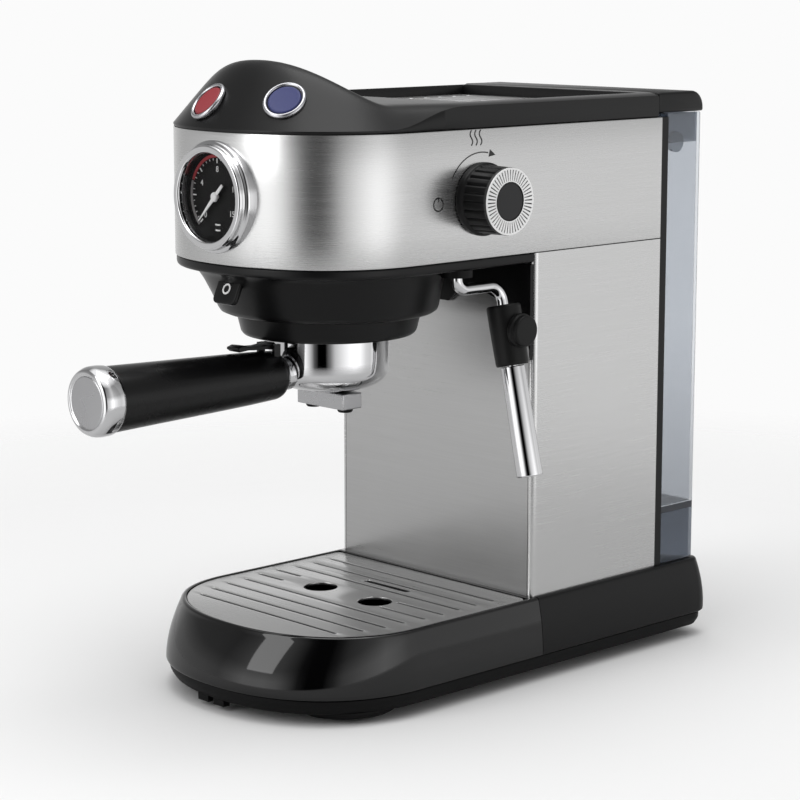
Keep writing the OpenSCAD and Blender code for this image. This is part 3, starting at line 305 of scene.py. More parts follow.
def loft(rings, closed=True, cap0=True, cap1=True, wrap=False):
    """Faces between rings of equal length; wrap also joins the last ring to the first."""
    n = len(rings[0])
    V = [p for r in rings for p in r]
    F = []
    m = len(rings)
    for i in range(m if wrap else m - 1):
        a, b = i * n, ((i + 1) % m) * n
        for j in range(n if closed else n - 1):
            k = (j + 1) % n
            F.append((a + j, a + k, b + k, b + j))
    if cap0 and not wrap:
        F.append(tuple(reversed(range(n))))
    if cap1 and not wrap:
        F.append(tuple((m - 1) * n + j for j in range(n)))
    return V, F


def nose(a, c, f, n=NOSE_N, k=120):
    """Rounded nose from +X round to -X: half width a, from y = c forward to y = f."""
    t = np.linspace(0, math.pi, k + 1)
    x = a * np.sign(np.cos(t)) * np.abs(np.cos(t)) ** (2 / n)
    y = c - (c - f) * np.abs(np.sin(t)) ** (2 / n)
    return [(float(p), float(q)) for p, q in zip(x, y)]


def arc(cx, cy, r, a0, a1, k=8):
    return [(cx + r * math.cos(math.radians(a0 + (a1 - a0) * i / k)),
             cy + r * math.sin(math.radians(a0 + (a1 - a0) * i / k))) for i in range(k + 1)]


def dplan(a, c, f, yr, r=0.0, n=NOSE_N, k=120):
    """Closed outline: rounded nose toward -Y, straight sides, rear corners of radius r."""
    pts = nose(a, c, f, n, k)
    side = 10
    left = [(-a, c + (yr - r - c) * (i + 1) / side) for i in range(side)]
    right = [(a, yr - r - (yr - r - c) * i / side) for i in range(side)]
    if r:
        back = arc(-a + r, yr - r, r, 180, 90)[1:] + arc(a - r, yr - r, r, 90, 0)[:-1]
    else:
        back = []
    return pts + left + back + right


def at(outline, z):
    return [(x, y, z) for x, y in outline]


def frame_of(axis, up=(0, 0, 1)):
    """Two cross directions and the unit direction of an axis."""
    w = np.array(axis, float)
    w /= np.linalg.norm(w)
    u = np.cross(up, w)
    if np.linalg.norm(u) < 1e-6:
        u = np.array([1.0, 0, 0])
    u /= np.linalg.norm(u)
    return u, np.cross(w, u), w


def lathe(profile, origin, axis, k=96, close=False, mod=None):
    """Turn (radius, along) points about an axis through origin."""
    u, v, w = frame_of(axis)
    o = np.array(origin, float)
    rings = []
    for r, h in profile:
        ring = []
        for j in range(k):
            t = 2 * math.pi * j / k
            rr = r if mod is None else mod(r, h, t)
            ring.append(tuple(o + w * h + (u * math.cos(t) + v * math.sin(t)) * rr))
        rings.append(ring)
    return loft(rings, True, not close, not close, close)


def fillet(pts, r, k=5):
    """Round the inner corners of an open (radius, along) profile."""
    out = [pts[0]]
    for i in range(1, len(pts) - 1):
        p = np.array(pts[i], float)
        a = np.array(pts[i - 1], float) - p
        b = np.array(pts[i + 1], float) - p
        la, lb = np.linalg.norm(a), np.linalg.norm(b)
        rr = r[i] if isinstance(r, (list, tuple)) else r
        d = min(rr, la * 0.45, lb * 0.45)
        if d < 1e-6:
            out.append(tuple(p))
            continue
        p0, p1 = p + a / la * d, p + b / lb * d
        for j in range(k + 1):
            t = j / k
            out.append(tuple((1 - t) ** 2 * p0 + 2 * t * (1 - t) * p + t * t * p1))
    out.append(pts[-1])
    return out


def tube(path, r, k=32):
    """Round tube along points; r is a number or one value a point."""
    P = [np.array(p, float) for p in path]
    rings = []
    u = frame_of(P[1] - P[0])[0]
    for i, p in enumerate(P):
        t = P[min(i + 1, len(P) - 1)] - P[max(i - 1, 0)]
        t /= np.linalg.norm(t)
        u = u - t * np.dot(u, t)
        u /= np.linalg.norm(u)
        v = np.cross(t, u)
        rr = r[i] if isinstance(r, (list, tuple)) else r
        rings.append([tuple(p + (u * math.cos(a) + v * math.sin(a)) * rr)
                      for a in np.linspace(0, 2 * math.pi, k, endpoint=False)])
    return loft(rings)


def cut(obj, V, F):
    """Take a closed shape out of a piece and keep the clean result."""
    me = bpy.data.meshes.new("cutter")
    me.from_pydata([tuple(c * MM for c in v) for v in V], [], F)
    bm_normals(me)
    cutter = bpy.data.objects.new("cutter", me)
    bpy.context.scene.collection.objects.link(cutter)
    mod = obj.modifiers.new("cut", "BOOLEAN")
    mod.operation = "DIFFERENCE"
    mod.solver = "EXACT"
    mod.object = cutter
    bpy.context.view_layer.update()
    new = bpy.data.meshes.new_from_object(obj.evaluated_get(bpy.context.evaluated_depsgraph_get()))
    obj.modifiers.remove(mod)
    new.name = obj.name
    obj.data = new
    new.set_sharp_from_angle(angle=math.radians(30))
    bpy.data.objects.remove(cutter)


def join(*parts):
    """Put several (vertices, faces) shapes into one."""
    V, F = [], []
    for v, f in parts:
        n = len(V)
        V += list(v)
        F += [tuple(i + n for i in q) for q in f]
    return V, F


def block(lo, hi):
    (x0, y0, z0), (x1, y1, z1) = lo, hi
    V = [(x, y, z) for z in (z0, z1) for x, y in ((x0, y0), (x1, y0), (x1, y1), (x0, y1))]
    F = [(3, 2, 1, 0), (4, 5, 6, 7), (0, 1, 5, 4), (1, 2, 6, 5), (2, 3, 7, 6), (3, 0, 4, 7)]
    return V, F


def shape2d(name, loops, z, depth, bevel, mat, body, place=None, reps=(), slot=None, angle=30):
    """A flat plate cut from closed outlines, the first the outside and the rest holes."""
    cu = bpy.data.curves.new(name, "CURVE")
    cu.dimensions = "2D"
    cu.fill_mode = "BOTH"
    cu.extrude = max(1e-5, (depth / 2 - bevel) * MM)
    cu.bevel_depth = bevel * MM
    cu.offset = -bevel * MM
    cu.bevel_resolution = 2
    for loop in loops:
        s = cu.splines.new("POLY")
        s.points.add(len(loop) - 1)
        for p, (x, y) in zip(s.points, loop):
            p.co = (x * MM, y * MM, 0, 1)
        s.use_cyclic_u = True
    o = bpy.data.objects.new(name + "_c", cu)
    bpy.context.scene.collection.objects.link(o)
    me = bpy.data.meshes.new_from_object(o.evaluated_get(bpy.context.evaluated_depsgraph_get()))
    bpy.data.objects.remove(o)
    co = np.empty(len(me.vertices) * 3)
    me.vertices.foreach_get("co", co)
    co = co.reshape(-1, 3) / MM
    co[:, 2] += z + depth / 2
    if place is not None:
        co = np.array([place(*p) for p in co])
    V = [tuple(p) for p in co]
    F = [tuple(p.vertices) for p in me.polygons]
    bpy.data.meshes.remove(me)
    return add(name, (V, F), mat, body, reps, slot, angle)


# ---------- steel band of the head ----------
def sweep_path(path, prof):
    """Sweep a closed (outward, z) profile along an open plan path; ends are capped."""
    P = np.array(path)
    T = np.gradient(P, axis=0)
    T /= np.linalg.norm(T, axis=1)[:, None]
    Nn = np.stack([T[:, 1], -T[:, 0]], 1)
    rings = [[(p[0] + n[0] * o, p[1] + n[1] * o, z) for o, z in prof] for p, n in zip(P, Nn)]
    return loft(rings)


def plate_profile(z0, z1, t, r):
    """Closed cross-section of a sheet of thickness t from z0 to z1 with eased edges."""
    e = r * 0.3
    return [(-t, z0 + e), (-t + e, z0), (-r, z0), (-e, z0 + e), (0, z0 + r),
            (0, (z0 + z1) / 2), (0, z1 - r), (-e, z1 - e), (-r, z1), (-t + e, z1), (-t, z1 - e)]


side = [(HW, COL_R - (COL_R - NOSE_C) * i / 24) for i in range(24)]
path = side + nose(HW, NOSE_C, NOSE, k=160) + [(-x, y) for x, y in reversed(side)]
path = [(-x, y) for x, y in path]
V, F = sweep_path(path, plate_profile(HEAD_Z + 0.15, HEAD_T - 0.1, STEEL_T, 0.5))
band = add("band_steel", (V, F), "steel_h", "machine", ["head_band"], "brushed_steel")
GA = box("gauge_bezel")
gz, gy0, GAUGE_R = (GA[0][2] + GA[1][2]) / 2, GA[0][1], 25.5
V, F = lathe([(0.01, 0), (GAUGE_R + 0.6, 0), (GAUGE_R + 0.6, 30), (0.01, 30)], (0, gy0 - 2, gz), (0, 1, 0),
             96)
cut(band, V, F)


# ---------- top cover ----------
def sstep(v):
    """Smooth step from 0 to 1."""
    s = np.clip(v, 0, 1)
    return s * s * (3 - 2 * s)


def halfw(y):
    """Half width of the head at y."""
    t = np.clip((NOSE_C - y) / (NOSE_C - NOSE), 0, 1)
    return HW * np.maximum(0, 1 - t ** NOSE_N) ** (1 / NOSE_N)


def skin(x, y):
    """Height of the top cover's skin above the steel band."""
    t = np.clip((NOSE_C - y) / (NOSE_C - NOSE), 0, 1)
    rho = np.maximum(0, 1 - (np.minimum(1, np.abs(x) / HW) ** NOSE_N + t ** NOSE_N) ** (1 / NOSE_N))
    s = 1.5 + (RIM - 1.5) * sstep((y - NOSE_C + 14) / 50)
    u = s + DOME_SLOPE * NOSE_LEN * rho
    along = np.minimum(1, (y - NOSE - DOME_CREST) / DOME_FALL)
    q = np.where(y < NOSE + DOME_CREST, 1.0, (1 + np.cos(np.pi * along)) / 2)
    c = RIM + (DOME - RIM) * q
    return (u ** -DOME_BLEND + c ** -DOME_BLEND) ** (-1 / DOME_BLEND)


COVER = box("top_cover")
GR = box("cup_grille")
ry0, ry1, rx = GR[0][1] - 0.5, GR[1][1] + 0.6, GR[1][0] + 0.5
deck = GR[0][2] + 0.2
front_y = NOSE + 0.02 + (NOSE_C + 30 - NOSE) * np.linspace(0, 1, 90) ** 1.7
rear_y = np.concatenate([np.linspace(NOSE_C + 31, ry0 - 1.2, 10), [ry0 - 0.7, ry0 - 0.35, ry0 - 0.1, ry0],
                         np.linspace(ry0 + 0.05, ry1 - 0.05, 30), [ry1, ry1 + 0.1, ry1 + 0.35, ry1 + 0.7],
                         np.linspace(ry1 + 1.4, COVER[1][1] - 0.8, 5), [COVER[1][1] - 0.3, COVER[1][1]]])
ys = np.concatenate([front_y, rear_y])
turn_in = math.pi / 2 * 0.62
half = np.concatenate([np.sin(np.linspace(0, 1, 26) * turn_in) / math.sin(turn_in) * (rx - 1.2),
                       [rx - 0.06, rx - 0.05, rx, rx + 0.1, rx + 0.35, rx + 0.7],
                       HW - (HW - rx - 1.4) * (1 - np.sin(np.linspace(0, 1, 12) * math.pi / 2))]) / HW
half = np.unique(np.round(half, 6))
ss = np.concatenate([-half[::-1], half[1:]])
rings = []
for y in ys:
    w = float(halfw(y))
    x = ss * w
    z = HEAD_T + skin(x * 0.9999, np.full_like(x, y))
    if y > COVER[1][1] - 0.9:
        z = z - (0.0 if y < COVER[1][1] - 0.5 else 0.35 if y < COVER[1][1] - 0.1 else 1.0)
    inside = (np.abs(x) < rx) & (y > ry0) & (y < ry1)
    near = np.maximum(np.maximum(np.abs(x) - rx, ry0 - y), y - ry1)
    ease = np.clip(1 - near / 0.7, 0, 1)
    z = np.where(inside, deck, z - 0.7 * ease ** 2 * (near >= 0))
    top = [(float(a), float(y), float(b)) for a, b in zip(x, z)]
    e = min(1.0, w * 0.05)
    low = [(w, y, HEAD_T + 0.9), (w - e * 0.7, y, HEAD_T + 0.1), (-w + e * 0.7, y, HEAD_T + 0.1),
           (-w, y, HEAD_T + 0.9)]
    rings.append(top + [tuple(float(c) for c in p) for p in low])
add("cover_black", loft(rings), "cover", "machine", ["top_cover"], "black_satin", angle=50)

# grille: slotted steel plate in the recess
outer = [(GR[0][0], GR[0][1]), (GR[1][0], GR[0][1]), (GR[1][0], GR[1][1]), (GR[0][0], GR[1][1])]
loops = [outer]
SLOT_ROWS = 11
SLOT_HALF = 20.5
for i in range(SLOT_ROWS):
    y = GR[0][1] + 9 + i * (GR[1][1] - GR[0][1] - 18) / (SLOT_ROWS - 1)
    for x in (-30, 30):
        loops.append(arc(x + SLOT_HALF, y, 1.5, 90, -90, 6) + arc(x - SLOT_HALF, y, 1.5, 270, 90, 6))
shape2d("grille_steel", loops, GR[0][2], 1.5, 0.3, "steel_grid", "machine", None, ["cup_grille"],
        "brushed_steel")


# ---------- base: tray, rear housing, lower plate ----------
SEAM = TRAY[0][2]
A1, F1 = TRAY[1][0], TRAY[0][1]
A0 = HW + 3


def tray_ring(t, z, inset=0.0):
    """Tray outline at height z; t runs from 0 at the seam to 1 at the top."""
    a = A1 - (A1 - A0) * t ** 2.0 - inset
    f = F1 + 11 * t ** 1.75 + inset
    return at(dplan(a, NOSE_C, f, TRAY[1][1] - inset * 0.2), z)


zs = np.linspace(0, 1, 22)
H = BASE_T - SEAM
rings = [at(dplan(A1 - 2.5, NOSE_C, F1 + 2.5, TRAY[1][1] - 1), SEAM),
         at(dplan(A1 - 0.7, NOSE_C, F1 + 0.7, TRAY[1][1] - 0.2), SEAM + 0.05),
         at(dplan(A1 - 0.2, NOSE_C, F1 + 0.2, TRAY[1][1]), SEAM + 0.3)]
rings += [tray_ring(t, SEAM + 0.7 + (H - 2.1) * t) for t in zs]
rings += [tray_ring(1, BASE_T - 0.9, 0.15), tray_ring(1, BASE_T - 0.35, 0.6),
          tray_ring(1, BASE_T - 0.02, 1.3)]
ga, gf, gr = HW, NOSE - 9 + 13.5, TRAY[1][1] - 4.6
rings += [at(dplan(ga + 0.5, NOSE_C, gf - 0.5, gr + 0.5), BASE_T - 0.02),
          at(dplan(ga + 0.1, NOSE_C, gf - 0.1, gr + 0.1), BASE_T - 0.2),
          at(dplan(ga, NOSE_C, gf, gr), BASE_T - 2.0),
          at(dplan(HW - 3.8, NOSE_C, gf + 2.2, gr - 3.2), BASE_T - 2.02),
          at(dplan(HW - 4, NOSE_C, gf + 2.4, gr - 3.4), BASE_T - 2.4),
          at(dplan(HW - 4, NOSE_C, gf + 2.4, gr - 3.4), SEAM + 5),
          at(dplan(HW - 7, NOSE_C, gf + 5.4, gr - 6), SEAM + 2.5)]
add("tray_black", loft(rings), "gloss", "tray", ["drip_tray"], "black_gloss", angle=50)

# drip grid
GB = box("drip_grid")
gx, gfy, gry = GB[1][0], GB[0][1], GB[1][1]


def slot_loop(x0, x1, y, w=2.0):
    """Round-ended slot of width w between two centres."""
    return arc(x1, y, w / 2, 90, -90, 8) + arc(x0, y, w / 2, 270, 90, 8)


SLOT_PITCH = 12.6
SLOT_BACK = COL_F - 18
DRAIN_R = 9
DRAIN_X = 21
loops = [dplan(gx, NOSE_C, gfy, gry, 5, k=140)]
for i in range(3):
    loops.append(slot_loop(-(HW - 11), HW - 11, SLOT_BACK - i * SLOT_PITCH))
for i in (3, 4):
    loops.append(slot_loop(-(HW - 9), -(HW - 27), SLOT_BACK - i * SLOT_PITCH))
    loops.append(slot_loop(HW - 42, HW - 10, SLOT_BACK - i * SLOT_PITCH))
for i in range(5, 9):
    y = SLOT_BACK - i * SLOT_PITCH
    w = (HW - 12) * (1 - (max(0, NOSE_C - y) / (NOSE_C - gfy)) ** NOSE_N) ** (1 / NOSE_N)
    loops.append(slot_loop(-w, w, y))
loops.append(slot_loop(-13, 17, COL_F - 36.5, 4))
for s in (-1, 1):
    loops.append(arc(s * DRAIN_X, COL_F - 63, DRAIN_R, 0, 354.375, 63))
shape2d("grid_steel", loops, GB[0][2], GB[1][2] - GB[0][2], 0.35, "steel_grid", "grid", None, ["drip_grid"],
        "brushed_steel")

# rear housing
HB = box("base_housing")
hy0, hy1 = HB[0][1], HB[1][1]


def rear_plan(a, y1, r, inset=0.0):
    """Outline of the rear housing: square in front, corners of radius r behind."""
    y0 = hy0 + inset
    return ([(a, y0), (0, y0), (-a, y0)] + [(-a, y0 + (y1 - r - y0) * i / 12) for i in range(1, 12)]
            + arc(-a + r, y1 - r, r, 180, 90, 10) + arc(a - r, y1 - r, r, 90, 0, 10)
            + [(a, y1 - r - (y1 - r - y0) * i / 12) for i in range(1, 12)])


rings = [at(rear_plan(A1 - 2.5, hy1 - 2.5, 9.5), SEAM), at(rear_plan(A1 - 0.6, hy1 - 0.6, 11.4), SEAM + 0.05),
         at(rear_plan(A1 - 0.1, hy1 - 0.1, 12), SEAM + 0.5)]
rings += [at(rear_plan(A1 - 3.5 * t ** 2.0, hy1 - 6 * t ** 1.6, 12 - 5.5 * t),
             SEAM + 0.9 + (H - 2.4) * t) for t in zs]
rings += [at(rear_plan(A0 - 0.2, hy1 - 6.2, 6.3), BASE_T - 0.9),
          at(rear_plan(A0 - 0.7, hy1 - 6.7, 5.8, 0.2), BASE_T - 0.3),
          at(rear_plan(A0 - 1.5, hy1 - 7.5, 5, 0.4), BASE_T - 0.02),
          at(rear_plan(HW - 8, hy1 - 14, 3, 3), BASE_T - 0.02)]
add("housing_base", loft(rings), "satin", "machine", ["base_housing"], "black_satin", angle=50)

# lower plate with its foot bosses and finger tabs
pa, pf, pr = PLATE[1][0], PLATE[0][1], PLATE[1][1]
PZ = 5.5
prof = fillet([(-14, PZ), (-2.6, PZ), (0, PZ + 4.2), (0, SEAM - 0.6), (-2, SEAM - 0.5)],
              [0, 1.6, 2.5, 0.4, 0], 5)
rings = [at(dplan(pa + o, NOSE_C, pf - o, pr + o, max(2, 11 + o)), z) for o, z in prof]
V, F = loft(rings)
fx, fy0, fx2, fy1 = 44, NOSE_C - 20, HW - 22, pr + 2.5 - 32
boss = []
for x, y, r in ((-fx, fy0, 28), (fx, fy0, 28), (-fx2, fy1, 14), (fx2, fy1, 14)):
    boss.append(lathe(fillet([(0.1, 1.8), (r - 3, 1.8), (r, PZ - 0.6), (r - 0.2, PZ + 0.6),
            (0.1, PZ + 0.6)], [0, 2, 0.6, 0, 0]), (x, y, 0), (0, 0, 1), 96))
for x in (-14, -2):
    boss.append(block((x, pf + 3, PZ - 3), (x + 8, pf + 7, PZ + 0.5)))
add("plate_lower", join((V, F), *boss), "matte", "machine", ["base_plate"], "black_matte", bev=0.0)

# ---------- group housing ----------
def bowl(a, f, r, z, k=96):
    """Plan that is an ellipse toward the nose and round toward the column."""
    out = []
    for i in range(2 * k):
        t = math.pi * i / k
        s = math.sin(t)
        out.append((a * math.cos(t), GY + (f if s < 0 else r) * s, z))
    return out


lip = []
for o, z in fillet([(-6, HEAD_Z - 0.15), (-0.6, HEAD_Z - 0.15), (-0.6, HEAD_Z - 5), (-7, HEAD_Z - 5.6)],
                   [0, 0.8, 2.2, 0], 5):
    lip.append(at(dplan(HW + o, NOSE_C, NOSE - o, COL_F - 0.2, k=120), z))
lip_mesh = loft(lip)
GROUP_R = 47
BELL_R = GROUP_R + 9
fz = GY - NOSE - 4
rings = []
for z, q in ((-5.3, -0.1), (-6.2, 0.03), (-8, 0.17), (-11, 0.34), (-15, 0.52), (-19, 0.7), (-23, 0.86),
             (-26, 0.97), (-28, 1.08), (-29.2, 1.3), (-29.9, 1.7)):
    a = (HW - 9) + (BELL_R - HW + 9) * q
    rings.append(bowl(a, fz + (BELL_R - fz) * q, a if q > 1 else BELL_R, HEAD_Z + z))
bell_mesh = loft(rings)
ring_prof = fillet([(GROUP_R - 6, HEAD_Z - 28), (GROUP_R + 0.2, HEAD_Z - 28.5), (GROUP_R, HEAD_Z - 30),
                    (GROUP_R - 2.2, GROUP_Z + 1.6), (GROUP_R - 3.6, GROUP_Z), (GROUP_R - 5, GROUP_Z),
                    (GROUP_R - 5, HEAD_Z - 28)],
                   [0, 0, 0.4, 0.8, 0.8, 0.4, 0], 4)
ring_mesh = lathe(ring_prof, (0, GY, 0), (0, 0, 1), 128)
add("group_black", join(lip_mesh, bell_mesh, ring_mesh), "satin", "machine", ["group_housing"],
    "black_satin", angle=40)

# ---------- gauge ----------
org, ax = (0, gy0, gz), (0, 1, 0)
prof = fillet([(GAUGE_R - 4, 2.4), (GAUGE_R - 4, 0.9), (GAUGE_R - 3.4, 0), (GAUGE_R - 0.7, 0),
               (GAUGE_R, 0.9), (GAUGE_R, 3), (GAUGE_R + 1.9, 4.2), (GAUGE_R + 1.9, 16), (GAUGE_R - 3, 16),
               (GAUGE_R - 3, 5.3)],
              [0, 0.3, 0.5, 0.8, 0.6, 0.6, 0.9, 0.2, 0, 0], 5)
add("bezel_chrome", lathe(prof, org, ax, 128, close=True), "chrome", "machine", ["gauge_bezel"], "chrome",
    angle=60)
add("dial_face", lathe([(0.1, 7.6), (GAUGE_R - 3.05, 7.6), (GAUGE_R - 3.05, 8.4), (0.1, 8.4)], org, ax, 96),
    "dial", "machine", ["gauge_dial"], "black_matte", angle=20)
prof = [(GAUGE_R - 4, 2.6), (GAUGE_R - 3.2, 5), (GAUGE_R - 3.3, 7.6), (GAUGE_R - 3.0, 7.6),
        (GAUGE_R - 2.9, 2.6)]
add("dial_wall", lathe(prof, org, ax, 96, close=True), "chrome_soft", "machine", slot="chrome")


def dial_pt(r, deg, h):
    """Point on the dial: deg is clockwise from straight down, as seen from the front."""
    t = math.radians(deg)
    return (-r * math.sin(t), gy0 + h, gz - r * math.cos(t))


def dial_sector(r0, r1, d0, d1, h0=7.3, h1=7.62, k=24):
    rings = [[dial_pt(r0, d, h0), dial_pt(r1, d, h0), dial_pt(r1, d, h1),
              dial_pt(r0, d, h1)] for d in np.linspace(d0, d1, k + 1)]
    return loft(rings)


add("scale_grey", dial_sector(GAUGE_R - 6.4, GAUGE_R - 4.9, 45, 110), "scale_grey", "machine",
    slot="dark_grey")
add("scale_red", join(dial_sector(GAUGE_R - 6.4, GAUGE_R - 4.9, 112, 205),
        dial_sector(GAUGE_R - 6.4, GAUGE_R - 4.9, 300, 315)), "scale_red", "machine", slot="red_cap")
ticks = []
for i in range(31):
    d = 45 + i * 9
    big = i % 5 == 0
    w = 0.9 if big else 0.45
    ticks.append(dial_sector(GAUGE_R - (9.2 if big else 7.8), GAUGE_R - 6.9, d - w, d + w, k=2))
ticks.append(join(dial_sector(GAUGE_R - 9.5, GAUGE_R - 8.8, -6, 6, k=4),
                  dial_sector(GAUGE_R - 12.2, GAUGE_R - 11.5, -8, 8, k=4)))
add("scale_ticks", join(*ticks), "white", "machine", slot="white_print")


def text_piece(name, txt, size, place, mat, body, slot, depth=0.12):
    cu = bpy.data.curves.new(name, "FONT")
    cu.body = txt
    cu.size = size * MM
    cu.extrude = depth / 2 * MM
    cu.align_x = "CENTER"
    cu.align_y = "CENTER"
    o = bpy.data.objects.new(name + "_t", cu)
    bpy.context.scene.collection.objects.link(o)
    me = bpy.data.meshes.new_from_object(o.evaluated_get(bpy.context.evaluated_depsgraph_get()))
    bpy.data.objects.remove(o)
    co = np.empty(len(me.vertices) * 3)
    me.vertices.foreach_get("co", co)
    co = co.reshape(-1, 3) / MM
    V = [place(*p) for p in co]
    F = [tuple(p.vertices) for p in me.polygons]
    return add(name, (V, F), mat, body, slot=slot)


for num, d in (("0", 45), ("4", 117), ("8", 180), ("12", 252), ("15", 306)):
    c = dial_pt(GAUGE_R - 12.2, d, 7.5)
    text_piece("numeral_" + num, num, 4.0, lambda x, y, z, c=c: (c[0] + x, c[1] - z, c[2] + y), "white",
               "machine", "white_print")


def needle_pt(along, across, h):
    t = math.radians(45)
    dx, dz = -math.sin(t), -math.cos(t)
    return (dx * along + dz * -across, gy0 + h, gz + dz * along + dx * across)


outline = [(-8.5, -0.75), (-8.5, 0.75), (-2, 0.95), (0, 1.1), (GAUGE_R - 8.2, 0.22), (GAUGE_R - 8.2, -0.22),
           (0, -1.1), (-2, -0.95)]
rings = [[needle_pt(a, b, h) for a, b in outline] for h in (5.2, 5.6)]
hub = lathe(fillet([(0.05, 4.4), (1.9, 4.5), (2.4, 5.2), (2.4, 5.9), (1, 6.0), (1, 7.9), (0.05, 7.9)],
                   [0, 0.5, 0.3, 0.2, 0, 0, 0]), org, ax, 48)
add("needle_white", join(loft(rings), hub), "white", "needle", ["gauge_needle"], "white_print", angle=30)
add("lens_glass", lathe(fillet([(0.05, 2.3), (GAUGE_R - 6, 2.6), (GAUGE_R - 3.1, 2.9), (GAUGE_R - 3.1, 4.0),
        (0.05, 4.0)], [0, 4, 0.2, 0.1, 0]), org, ax, 96), "glass", "machine", ["gauge_glass"], "glass",
    angle=30)

# ---------- buttons ----------
def polar(az, el):
    a, e = math.radians(az), math.radians(el)
    return (math.cos(e) * math.sin(a), -math.cos(e) * math.cos(a), math.sin(e))


RING_R, CAP_R = 11.3, 8.4
for nm, p, d, body in (("red", (-16, NOSE + 9.6, HEAD_T + 13.4), polar(-11, 41), "cap_red"),
                       ("blue", (32, NOSE + 17.2, HEAD_T + 15.3), polar(27, 43), "cap_blue")):
    prof = fillet([(CAP_R + 0.45, -5), (CAP_R + 0.45, 0.9), (CAP_R + 1.0, 1.5), (RING_R - 1.2, 1.5),
                   (RING_R - 0.45, 0.7), (RING_R - 0.4, -0.4), (RING_R - 1.55, -0.9), (RING_R - 1.55, -6)],
                  [0, 0.2, 0.4, 0.6, 0.4, 0.2, 0, 0], 5)
    add("ring_" + nm, lathe(prof, p, d, 96, close=True), "silver", "machine",
        ["button_rings"] if nm == "red" else [], "silver_paint", angle=50)
    prof = fillet([(0.05, 0.9), (CAP_R - 3, 1.0), (CAP_R - 0.6, 1.15), (CAP_R, 0.4), (CAP_R, -4.5),
                   (2, -4.5), (2, -8), (0.05, -8)],
                  [0, 2, 1.0, 0.8, 0.2, 0, 0, 0], 6)
    add("cap_" + nm, lathe(prof, p, d, 96), nm, body, ["button_" + nm], nm + "_cap", angle=50)

# ---------- steam knob ----------
KD = box("knob_disc")
ky, kz = (KD[0][1] + KD[1][1]) / 2, (KD[0][2] + KD[1][2]) / 2
org, ax = (HW, ky, kz), (1, 0, 0)
KNOB_R, KNOB_LEN = 17.0, 20.0


def flute(r, h, t):
    if h < 4.3 or r < KNOB_R - 0.6:
        return r
    return r - 0.75 * max(0.0, math.cos(24 * t)) ** 2.5


prof = fillet([(3, 0.4), (KNOB_R + 1.2, 0.4), (KNOB_R + 1.2, 3.4), (KNOB_R + 0.1, 4.2), (KNOB_R, 5),
               (KNOB_R - 0.2, 10), (KNOB_R - 0.3, 15), (KNOB_R - 0.5, KNOB_LEN - 2), (3, KNOB_LEN - 2)],
              [0, 0.5, 0.8, 0.3, 0, 0, 0, 0.2, 0], 4)
knob_body = lathe(prof, org, ax, 240, mod=flute)
spindle = lathe([(0.05, -18), (3, -18), (3, 1), (0.05, 1)], org, ax, 48)
add("knob_black", join(knob_body, spindle), "satin", "knob", ["steam_knob"], "black_satin", angle=40)


FACE_IN = KNOB_R * 0.56
RIBS = 48
RIB_GAP = 0.18
ribs = []
for i in range(RIBS):
    a, b = (2 * math.pi * (i + f) / RIBS for f in (RIB_GAP, 1 - RIB_GAP))
    corners = [(ky + r * math.sin(t), kz + r * math.cos(t))
               for r, t in ((FACE_IN + 0.25, a), (FACE_IN + 0.25, b), (KNOB_R - 1.3, b), (KNOB_R - 1.3, a))]
    ribs.append(([(HW + h, y, z) for h in (KNOB_LEN - 1.9, KNOB_LEN - 0.04) for y, z in corners],
                 [(0, 1, 2, 3), (4, 5, 6, 7), (0, 1, 5, 4), (1, 2, 6, 5), (2, 3, 7, 6), (3, 0, 4, 7)]))
V, F = lathe(fillet([(FACE_IN + 0.06, KNOB_LEN - 2), (KNOB_R - 0.35, KNOB_LEN - 2),
        (KNOB_R - 0.3, KNOB_LEN - 0.7), (KNOB_R - 0.8, KNOB_LEN - 0.1), (KNOB_R - 1.3, KNOB_LEN - 0.1),
        (KNOB_R - 1.4, KNOB_LEN - 0.4), (FACE_IN + 0.6, KNOB_LEN - 0.4), (FACE_IN + 0.4, KNOB_LEN - 0.1),
        (FACE_IN + 0.06, KNOB_LEN - 0.1)],
                     [0, 0.1, 0.3, 0.2, 0, 0, 0, 0, 0], 3), org, ax, 128, close=True)
add("knob_ring_grey", (V, F), "knob_dark", "knob", ["knob_ring"], "silver_paint", angle=30)
rims = [lathe(fillet([(r0, KNOB_LEN - 1.4), (r1, KNOB_LEN - 1.4), (r1, KNOB_LEN - 0.02),
        (r0, KNOB_LEN - 0.02)], [0, 0, 0, 0], 3), org, ax, 128, close=True)
        for r0, r1 in ((FACE_IN + 0.1, FACE_IN + 0.6), (KNOB_R - 1.4, KNOB_R - 0.5))]
add("knob_face", join(*rims, *ribs), "knob_face", "knob", slot="silver_paint", angle=30)
add("knob_centre", lathe(fillet([(0.05, KNOB_LEN - 2), (FACE_IN, KNOB_LEN - 2), (FACE_IN, KNOB_LEN - 0.5),
        (FACE_IN - 0.8, KNOB_LEN - 0.2), (0.05, KNOB_LEN - 0.2)], [0, 0, 0.4, 0.6, 0], 4), org, ax, 96),
    "grey", "knob", ["knob_disc"], "dark_grey", angle=50)

# printed arc, arrow and steam sign beside the knob, with no words
def on_side(y, z, h):
    return (HW + h, y, z)


marks = []
MARK_R = 23.0
pts = [(ky + MARK_R * math.sin(t), kz + MARK_R * math.cos(t)) for t in np.radians(np.linspace(-62, 12, 30))]


def stroke(points, w, h=0.06):
    P = np.array(points, float)
    T = np.gradient(P, axis=0)
    T /= np.linalg.norm(T, axis=1)[:, None]
    Q = np.stack([-T[:, 1], T[:, 0]], 1) * w / 2
    rings = []
    for p, q in zip(P, Q):
        rings.append([on_side(*(p - q), 0.02), on_side(*(p + q), 0.02), on_side(*(p + q), h),
                on_side(*(p - q), h)])
    return loft(rings)


